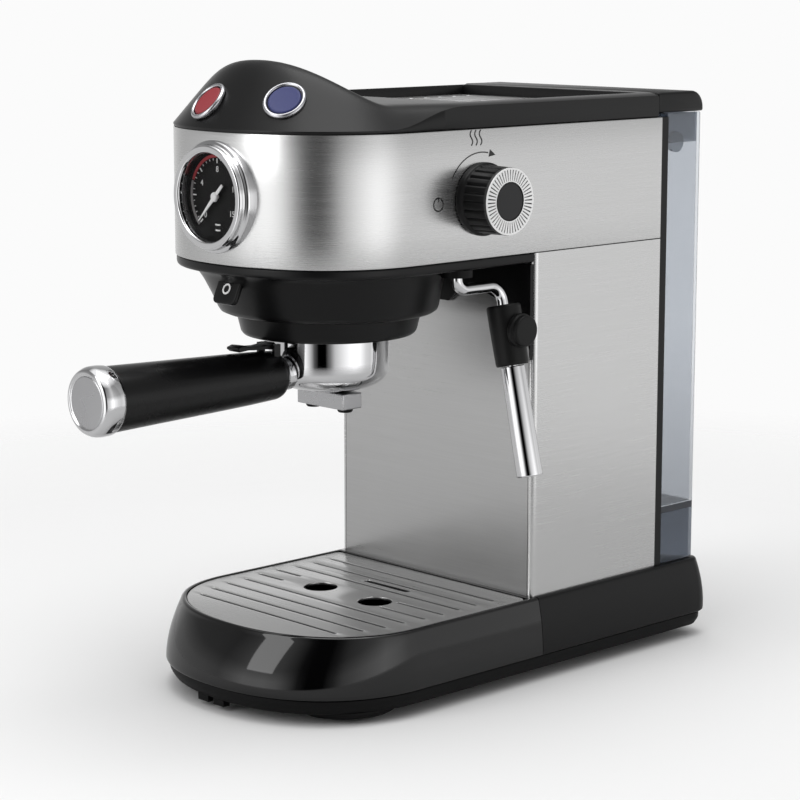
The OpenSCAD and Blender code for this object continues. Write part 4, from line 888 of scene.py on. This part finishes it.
marks.append(stroke(pts, 0.6))
a = math.radians(14)
tip = np.array([ky + MARK_R * math.sin(a), kz + MARK_R * math.cos(a)])
d = np.array([math.cos(a), -math.sin(a)])
q = np.array([-d[1], d[0]])
marks.append(([on_side(*(tip + d * 4.5), 0.06), on_side(*(tip + q * 1.9), 0.06),
               on_side(*(tip - q * 1.9), 0.06),
               on_side(*(tip + d * 4.5), 0.02), on_side(*(tip + q * 1.9), 0.02),
               on_side(*(tip - q * 1.9), 0.02)],
              [(0, 1, 2), (5, 4, 3), (0, 1, 4, 3), (1, 2, 5, 4), (2, 0, 3, 5)]))
for k in range(3):
    y0 = ky - 7 + k * 3.2
    marks.append(stroke([(y0 + 0.9 * math.sin(s * 2 * math.pi), kz + 26.5 + 7.5 * s) for s in np.linspace(0,
            1, 20)], 0.75))
marks.append(stroke([(ky - 29.5 + 3.2 * math.cos(s), kz - 1 + 3.2 * math.sin(s)) for s in np.linspace(0,
        2 * math.pi, 40)], 0.7))
marks.append(stroke([(ky - 29.5, kz + 0.4), (ky - 29.5, kz + 1.5), (ky - 29.5, kz + 2.6)], 0.7))
add("knob_print", join(*marks), "ink", "machine", slot="black_satin")

# ---------- steam wand ----------
WP = box("wand_pivot")
wx, wy = (WP[0][0] + WP[1][0]) / 2, (WP[0][1] + WP[1][1]) / 2
gyp = COL_F - 15
pz = HEAD_Z - 16
WAND_GRIP = 31
SLEEVE = 56.5
PIPE_R = 3.0
lean = math.radians(12.9)
wl = np.array([math.sin(lean), 0, -math.cos(lean)])
gp = np.array([wx + 10.2 * math.sin(lean), gyp, pz - 10.2 * math.cos(lean)])


def bend(c, u, v, r, k=14):
    """Quarter turn about c, from direction u to direction v."""
    c, u, v = np.array(c, float), np.array(u, float), np.array(v, float)
    steps = [math.pi / 2 * i / k for i in range(k + 1)]
    return [c + r * (u * math.cos(t) + v * math.sin(t)) for t in steps]


path = [np.array([wx, wy, HEAD_Z])] + bend((wx, wy + 6, pz + 6), (0, -1, 0), (0, 0, -1), 6)
path += [np.array([wx, wy + 6 + (gyp - 14 - wy) * i / 6, pz]) for i in range(1, 6)]
path += bend(np.array([wx, gyp - 8, pz]) + wl * 8, -wl, (0, 1, 0), 8)
path.append(np.array([wx, gyp, pz]) + wl * (8 + WAND_GRIP + 24))
add("wand_pipe_chrome", tube(path, PIPE_R, 40), "chrome", "wand", ["wand_pipe"], "chrome", angle=60)
prof = fillet([(3, 0), (8.2, 0), (8.8, 1.0), (8.75, 12), (8.4, WAND_GRIP - 1), (7.9, WAND_GRIP),
               (3, WAND_GRIP)], [0, 0.5, 0.6, 0, 0.5, 0.4, 0], 4)
grip = lathe(prof, gp, wl, 96)
tab = lathe(fillet([(0.1, 2), (6, 2), (6, 8.2), (8.3, 8.2), (8.7, 8.8), (8.7, 10.8), (8.2, 11.3),
                    (8.0, 11.5), (8.0, 13.6), (7.2, 14.3), (0.1, 14.3)],
                   [0, 0, 0.4, 0.3, 0.3, 0.3, 0.2, 0.1, 0.6, 1.2, 0], 4), gp + wl * 12, (1, 0, 0), 96)
add("wand_grip_black", join(grip, tab), "rubber", "wand", ["wand_grip"], "rubber", angle=40)
prof = fillet([(3.06, 0), (6.0, 0), (6.2, 0.4), (6.8, SLEEVE - 0.6), (6.6, SLEEVE), (3.9, SLEEVE),
               (3.6, SLEEVE - 0.5), (3.6, 25), (3.06, 25)], [0, 0.2, 0.3, 0.4, 0.3, 0.2, 0.2, 0, 0], 4)
add("sleeve_chrome", lathe(prof, gp + wl * (WAND_GRIP + 0.3), wl, 128, close=True), "chrome", "sleeve",
    ["wand_sleeve"], "chrome", angle=50)

# ---------- portafilter ----------
BOWL_R = 31.0
prof = fillet([(4, PF_Z - 4), (12, PF_Z - 3.6), (21, PF_Z - 1.6), (27, PF_Z + 1.2),
               (BOWL_R - 0.6, PF_Z + 5.5), (BOWL_R, PF_Z + 12), (BOWL_R, GROUP_Z + 19.6),
               (BOWL_R - 4, GROUP_Z + 19.6), (BOWL_R - 4, PF_Z + 6), (BOWL_R - 9, PF_Z + 3), (4, PF_Z + 1)],
              [0, 3, 5, 5, 5, 3, 0.5, 0.5, 2, 1, 0], 6)
bowl_mesh = lathe(prof, (0, GY, 0), (0, 0, 1), 160, close=True)
lugs = []
for s in (0, 180):
    ring = []
    for a in np.linspace(-20, 20, 13):
        t = math.radians(s + a)
        c, d = math.cos(t), math.sin(t)
        ring.append([(c * r, GY + d * r, z) for r, z in ((BOWL_R - 1, GROUP_Z + 9),
                (BOWL_R + 4.6, GROUP_Z + 9), (BOWL_R + 5, GROUP_Z + 9.5), (BOWL_R + 5, GROUP_Z + 13.1),
                (BOWL_R + 4.6, GROUP_Z + 13.6), (BOWL_R - 1, GROUP_Z + 13.6))])
    lugs.append(loft(ring))
neck = lathe(fillet([(0.1, -2), (8.5, -2), (8.4, 0.5), (8.2, 2.5), (9.2, 4.2), (8.6, 4.5), (0.1, 4.5)],
                    [0, 0, 0.5, 1, 0.4, 0.2, 0], 4), (0, GY - BOWL_R, HZ), (0, -1, 0), 96)
add("bowl_chrome", join(bowl_mesh, neck, *lugs), "chrome", "portafilter", ["portafilter_body"], "chrome",
    angle=50)
SB = box("spout_block")
add("spout_chrome", block((SB[0][0], SB[0][1], PF_Z - SPOUT_H), (SB[1][0], SB[1][1], PF_Z - 3.9)),
    "chrome_soft", "portafilter", ["spout_block"], "chrome", bev=0.6, seg=3)
parts = []
for s in (-1, 1):
    parts.append(lathe(fillet([(1.6, -2), (3.4, -2), (4, -1.2), (4, 0), (1.6, 0)], [0, 0.3, 0.5, 0.1, 0],
            4), (s * 12, GY, PF_Z - SPOUT_H), (0, 0, 1), 48, close=True))
add("spout_tip_black", join(*parts), "matte", "portafilter", ["spout_tips"], "black_matte")

h0 = GY - BOWL_R - 4.5
org, ax = (0, h0, HZ), (0, -1, 0)
GRIP_LEN, GRIP_R, GRIP_R0 = 106.0, 16.0, 12.3
prof = fillet([(4.2, 0), (GRIP_R0 - 3, 0), (GRIP_R0 - 0.9, 0.9), (GRIP_R0, 3.2), (GRIP_R0 + 0.9, 20),
               (GRIP_R0 + 1.6, 40), (GRIP_R - 1.3, 66), (GRIP_R, GRIP_LEN), (4.2, GRIP_LEN)],
              [0, 1, 1.5, 2.5, 8, 10, 12, 0.3, 0], 6)
V, F = lathe(prof, org, ax, 128)
pin = lathe([(0.05, -6), (0.8, -6), (0.8, 6), (0.05, 6)], (0, GY - BOWL_R - 9.5, HZ + GRIP_R0 + 3),
            (1, 0, 0), 24)
ear = [block((s * 5.9 - 0.9, GY - BOWL_R - 11.5, HZ + GRIP_R0 - 2),
             (s * 5.9 + 0.9, GY - BOWL_R - 7.5, HZ + GRIP_R0 + 4.2)) for s in (-1, 1)]
add("grip_black", join((V, F), pin, *ear), "handle", "portafilter", ["handle_grip"], "black_satin", angle=40)
prof = fillet([(0.05, GRIP_LEN), (GRIP_R + 0.1, GRIP_LEN), (GRIP_R + 0.9, 1.4 + GRIP_LEN),
               (GRIP_R + 1.15, GRIP_LEN + 5), (GRIP_R + 0.8, GRIP_LEN + 8.6),
               (GRIP_R - 0.7, GRIP_LEN + 11.2), (GRIP_R - 2.4, GRIP_LEN + 11.8),
               (GRIP_R - 3.5, GRIP_LEN + 10.9)],
              [0, 0.2, 0.8, 3, 2, 1.5, 0.8, 0], 6)
add("cap_chrome", lathe(prof, org, ax, 128), "chrome", "portafilter", ["handle_cap"], "chrome", angle=50)
prof = fillet([(0.05, GRIP_LEN + 10.0), (GRIP_R - 3.4, GRIP_LEN + 10.0), (GRIP_R - 3.4, GRIP_LEN + 10.9),
               (GRIP_R - 4, GRIP_LEN + 11.2), (0.05, GRIP_LEN + 11.3)], [0, 0, 0.2, 0.3, 0], 4)
add("cap_disc", lathe(prof, org, ax, 96), "chrome_soft", "portafilter", slot="chrome", angle=50)

# basket clip
cy, cz = GY - BOWL_R - 9.5, HZ + GRIP_R0 + 3
prof = [(1.5, 0.6), (0.5, 1.9), (-2, 1.2), (-8, 0.6), (-13, 0.9), (-18, 1.9), (-21, 2.3), (-23.4, 1.5),
        (-23.5, 0.4), (-22, -0.9), (-17, -0.4), (-12, -0.9), (-6, -1.0), (-1.0, -1.7), (1.2, -1.2)]
rings = []
for x in (-4.5, -4.2, -3.5, 0, 3.5, 4.2, 4.5):
    k = 1 - max(0, abs(x) - 3.5) * 0.22
    rings.append([(x, cy + a * (1 if abs(x) < 4.3 else 0.985), cz + b * k) for a, b in prof])
add("clip_black", loft(rings), "satin", "clip", ["basket_clip"], "black_satin", angle=40)

# ---------- tank and lid ----------
def tplan(a, y0, y1, r, k=14):
    """Outline of the tank: square in front, corners of radius r behind."""
    return ([(a, y0), (0, y0), (-a, y0)] + [(-a, y0 + (y1 - r - y0) * i / 4) for i in range(1, 4)]
            + arc(-a + r, y1 - r, r, 180, 90, k) + arc(a - r, y1 - r, r, 90, 0, k)
            + [(a, y1 - r - (y1 - r - y0) * i / 4) for i in range(1, 4)])


ta, ty0, ty1 = TANK[1][0], COL_R + 5.5, LID[1][1]
tz0, tz1 = BASE_T + 0.4, HEAD_T + 1.6
TANK_R = 4.0
FLOOR_Z = BASE_T + 28.5


def tank_ring(o, z):
    return at(tplan(ta - o, ty0 + o, ty1 - o, max(0.8, TANK_R - o)), z)


rings = [tank_ring(o, z) for o, z in ((0, FLOOR_Z + 3.6), (0, tz1 - 0.6), (0.5, tz1), (1.7, tz1),
        (2, tz1 - 0.5), (2, FLOOR_Z + 3.6))]
add("tank_clear", loft(rings, wrap=True), "tank", "tank", ["water_tank"], "tank_clear", angle=50)
rings = [tank_ring(o, z) for o, z in ((2, FLOOR_Z), (0.15, FLOOR_Z), (0, FLOOR_Z + 0.2), (0, FLOOR_Z + 3.4),
        (0.15, FLOOR_Z + 3.5), (2.1, FLOOR_Z + 3.5))]
add("tank_floor", loft(rings), "tank_dark", "tank", slot="tank_clear", angle=50)
rings = [tank_ring(o, z) for o, z in ((0.4, tz0), (0, tz0 + 0.6), (0, FLOOR_Z - 0.1), (2, FLOOR_Z - 0.1),
        (2, tz0 + 0.6), (1.6, tz0))]
add("tank_skirt", loft(rings, wrap=True), "tank_skirt", "tank", slot="tank_clear", angle=50)
rings = [tank_ring(o, z) for o, z in ((2.1, tz1 - 16), (2.1, tz1 - 0.6), (3.3, tz1 - 0.6), (3.3, tz1 - 16))]
add("tank_collar", loft(rings, wrap=True), "tank_skirt", "tank", slot="tank_clear", angle=50)

lz0, lz1 = LID[0][2], LID[1][2]
la, ly0, ly1 = LID[1][0], LID[0][1], LID[1][1]
LID_R = 9.0


def lid_ring(x, o):
    """Side outline of the lid: square at the front, well rounded along the rear edge."""
    pts = [(ly0 + o, lz0 + o), (ly0 + o, lz1 - 0.8 - o), (ly0 + 0.25 + o, lz1 - 0.25 - o),
           (ly0 + 0.8 + o, lz1 - o)]
    pts += [(ly1 - LID_R + (LID_R - o) * math.cos(a), lz1 - LID_R + (LID_R - o) * math.sin(a))
            for a in np.linspace(math.pi / 2, 0, 16)]
    pts += [(ly1 - o, lz0 + 0.4 + o), (ly1 - 0.4 - o, lz0 + o)]
    return [(x, float(y), float(z)) for y, z in pts]


rings = [lid_ring(s * (la - d), o) for s, d, o in ((-1, 0, 1.6), (-1, 0.25, 0.8), (-1, 0.8, 0.25),
        (-1, 1.6, 0), (1, 1.6, 0), (1, 0.8, 0.25), (1, 0.25, 0.8), (1, 0, 1.6))]
add("lid_black", loft(rings), "cover", "lid", ["tank_lid"], "black_satin", angle=40)

# lock mark: rounded pad with a ring sign
LM_TILT = math.radians(66)
LM_Y, LM_Z = GY - (fz * 0.7 + BELL_R * 0.3) - 0.5, HEAD_Z - 13


def on_pad(x, y, z):
    return (x, LM_Y + y * math.cos(LM_TILT) - z * math.sin(LM_TILT),
            LM_Z + y * math.sin(LM_TILT) + z * math.cos(LM_TILT))


pad_w, pad_h, pad_r = 8.5, 7.5, 3.0
loop = (arc(pad_w - pad_r, -pad_h + pad_r, pad_r, -90, 0, 6) + arc(pad_w - pad_r, pad_h - pad_r, pad_r, 0,
        90, 6)
        + arc(-pad_w + pad_r, pad_h - pad_r, pad_r, 90, 180, 6) + arc(-pad_w + pad_r, -pad_h + pad_r, pad_r,
                180, 270, 6))
shape2d("lock_pad", [loop], -1.5, 2.6, 0.7, "satin", "machine", on_pad, ["lock_mark"], "black_satin", 50)
add("lock_ring", lathe([(1.9, 1.0), (2.8, 1.0), (2.8, 1.45), (1.9, 1.45)], on_pad(0, 0, 0),
        (0, -math.sin(LM_TILT), math.cos(LM_TILT)), 48, close=True), "white", "machine", slot="silver_paint")

# ---------- CAD nodes that stay, with their materials ----------
keep = {
    "foot_pads": "rubber", "base_screws": "zinc", "chassis": "zinc", "front_panel": "steel_front",
    "side_panel_right": "steel_h", "side_panel_left": "steel_h", "rear_cover": "satin",
    "head_bracket": "satin", "group_collar": "cast", "group_gasket": "gasket",
    "shower_screen": "steel_plain", "shower_screw": "zinc", "thermoblock": "cast", "pump": "pump",
    "pump_mounts": "rubber", "solenoid_valve": "brass", "steam_valve": "brass", "inlet_hose": "hose",
    "brew_hose": "hose", "steam_hose": "hose", "control_board": "board", "tank_seat": "matte",
    "cord_gland": "rubber", "gauge_can": "matte", "button_switches": "matte", "wand_pivot": "matte",
    "filter_basket": "steel_plain", "tank_valve": "matte", "valve_plunger": "zinc", "tank_grip": "tank_grey",
}
for name, mat in keep.items():
    o = N[name]
    o.data.materials.clear()
    o.data.materials.append(M[mat])
for name in ("front_panel", "side_panel_right", "side_panel_left", "rear_cover", "head_bracket", "tank_grip"):
    mod = N[name].modifiers.new("edge", "BEVEL")
    mod.width = 0.25 * MM
    mod.segments = 2
    mod.limit_method = "ANGLE"
    mod.angle_limit = math.radians(50)

# ---------- floor and light ----------
FLOOR_R = 0.8
FLOOR_FADE = 0.45
FLOOR_TONE = 0.82
FLOOR_BOUNCE = 0.55
me = bpy.data.meshes.new("floor")
FLOOR_SIDES = 96
turns = [2 * math.pi * i / FLOOR_SIDES for i in range(FLOOR_SIDES)]
me.from_pydata([(FLOOR_R * math.cos(t), FLOOR_R * math.sin(t), 0) for t in turns], [],
               [tuple(range(FLOOR_SIDES))])
floor = bpy.data.objects.new("floor", me)
bpy.context.scene.collection.objects.link(floor)
fm, nt, b = material("floor_pale")
b.inputs["Roughness"].default_value = 0.9
b.inputs["Specular IOR Level"].default_value = 0.1
flp = nt.nodes.new("ShaderNodeLightPath")
nt.links.new(tint(nt, flp.outputs["Is Camera Ray"], (FLOOR_BOUNCE,) * 3, (FLOOR_TONE,) * 3),
             b.inputs["Base Color"])
g = nt.nodes.new("ShaderNodeTexGradient")
g.gradient_type = "SPHERICAL"
nt.links.new(coords(nt, (1 / FLOOR_R, 1 / FLOOR_R, 1)), g.inputs["Vector"])
nt.links.new(ramp(nt, g.outputs["Fac"], 0, 1, 0.02, 1 - FLOOR_FADE / FLOOR_R), b.inputs["Alpha"])
me.materials.append(fm)

sc = bpy.context.scene
sc.view_settings.view_transform = "Standard"
world = bpy.data.worlds.new("studio")
sc.world = world
world.use_nodes = True
wt = world.node_tree
wt.nodes.clear()
wo = wt.nodes.new("ShaderNodeOutputWorld")
tc = wt.nodes.new("ShaderNodeTexCoord")
sep = wt.nodes.new("ShaderNodeSeparateXYZ")
wt.links.new(tc.outputs["Generated"], sep.inputs[0])


def wmath(op, a, b=None, c=None):
    n = wt.nodes.new("ShaderNodeMath")
    n.operation = op
    for i, v in enumerate((a, b, c)):
        if v is None:
            continue
        if isinstance(v, (int, float)):
            n.inputs[i].default_value = v
        else:
            wt.links.new(v, n.inputs[i])
    return n.outputs[0]


def wramp(fac, stops):
    cr = wt.nodes.new("ShaderNodeValToRGB")
    wt.links.new(fac, cr.inputs[0])
    el = cr.color_ramp.elements
    while len(el) > 1:
        el.remove(el[-1])
    for i, (p, v) in enumerate(stops):
        e = el[0] if i == 0 else el.new(p)
        e.position = p
        e.color = (v, v, v, 1)
    return cr.outputs[0]


# studio brightness by heading round the machine in degrees: 0 in front, positive toward the steam side
HEADING = [(-180, 0.8), (-150, 0.95), (-122, 1.05), (-108, 0.85), (-88, 0.56), (-52, 0.66), (-43, 0.6),
           (-34, 1.0),
           (-24, 1.6), (-8, 1.7), (3, 1.35), (12, 0.7), (20, 0.12), (28, 0.0), (42, 0.0), (51, 0.25),
           (60, 0.75), (78, 1.25), (98, 1.75), (110, 1.45), (122, 0.95), (133, 0.8), (137, 1.0),
           (150, 0.85), (180, 0.8)]
turn = wmath("ARCTAN2", sep.outputs[0], wmath("MULTIPLY", sep.outputs[1], -1))
around = wramp(wmath("MULTIPLY_ADD", turn, 1 / (2 * math.pi), 0.5),
               [((d + 180) / 360, v) for d, v in HEADING])
# overhead softbox, faded in by height above the horizon
rise = wramp(wmath("MULTIPLY_ADD", sep.outputs[2], 0.5, 0.5),
             [(0.0, 0.0), (0.85, 0.0), (0.93, 1.0), (1.0, 1.0)])
dim = wramp(wmath("MULTIPLY_ADD", sep.outputs[2], 0.5, 0.5),
            [(0.0, 1.0), (0.55, 1.0), (0.65, 0.5), (0.86, 0.4), (1.0, 0.4)])
mul = wt.nodes.new("ShaderNodeMix")
mul.data_type = "RGBA"
wt.links.new(rise, mul.inputs["Factor"])
wt.links.new(wmath("MULTIPLY", around, dim), mul.inputs[6])
mul.inputs[7].default_value = (1.25, 1.25, 1.25, 1)
bg = wt.nodes.new("ShaderNodeBackground")
wt.links.new(mul.outputs[2], bg.inputs["Color"])
bg.inputs["Strength"].default_value = 1.0
white = wt.nodes.new("ShaderNodeBackground")
white.inputs["Color"].default_value = (0.965, 0.965, 0.965, 1)
lp = wt.nodes.new("ShaderNodeLightPath")
mx = wt.nodes.new("ShaderNodeMixShader")
wt.links.new(lp.outputs["Is Camera Ray"], mx.inputs[0])
wt.links.new(bg.outputs[0], mx.inputs[1])
wt.links.new(white.outputs[0], mx.inputs[2])
wt.links.new(mx.outputs[0], wo.inputs[0])


def area(name, loc, target, size, power, sy=None):
    """Rectangular softbox aimed at a point; sizes in metres, power in watts."""
    L = bpy.data.lights.new(name, "AREA")
    L.shape = "RECTANGLE"
    L.size = size
    L.size_y = sy or size
    L.energy = power
    o = bpy.data.objects.new(name, L)
    bpy.context.scene.collection.objects.link(o)
    o.location = loc
    o.rotation_euler = (Vector(target) - Vector(loc)).to_track_quat("-Z", "Y").to_euler()
    return o


area("softbox_front", (-0.30, -1.50, 0.86), (0, -0.1, 0.05), 0.62, 5, 0.95)
area("softbox_top", (0.1, -0.1, 1.7), (0, 0, 0.0), 1.2, 12)

bpy.context.view_layer.update()
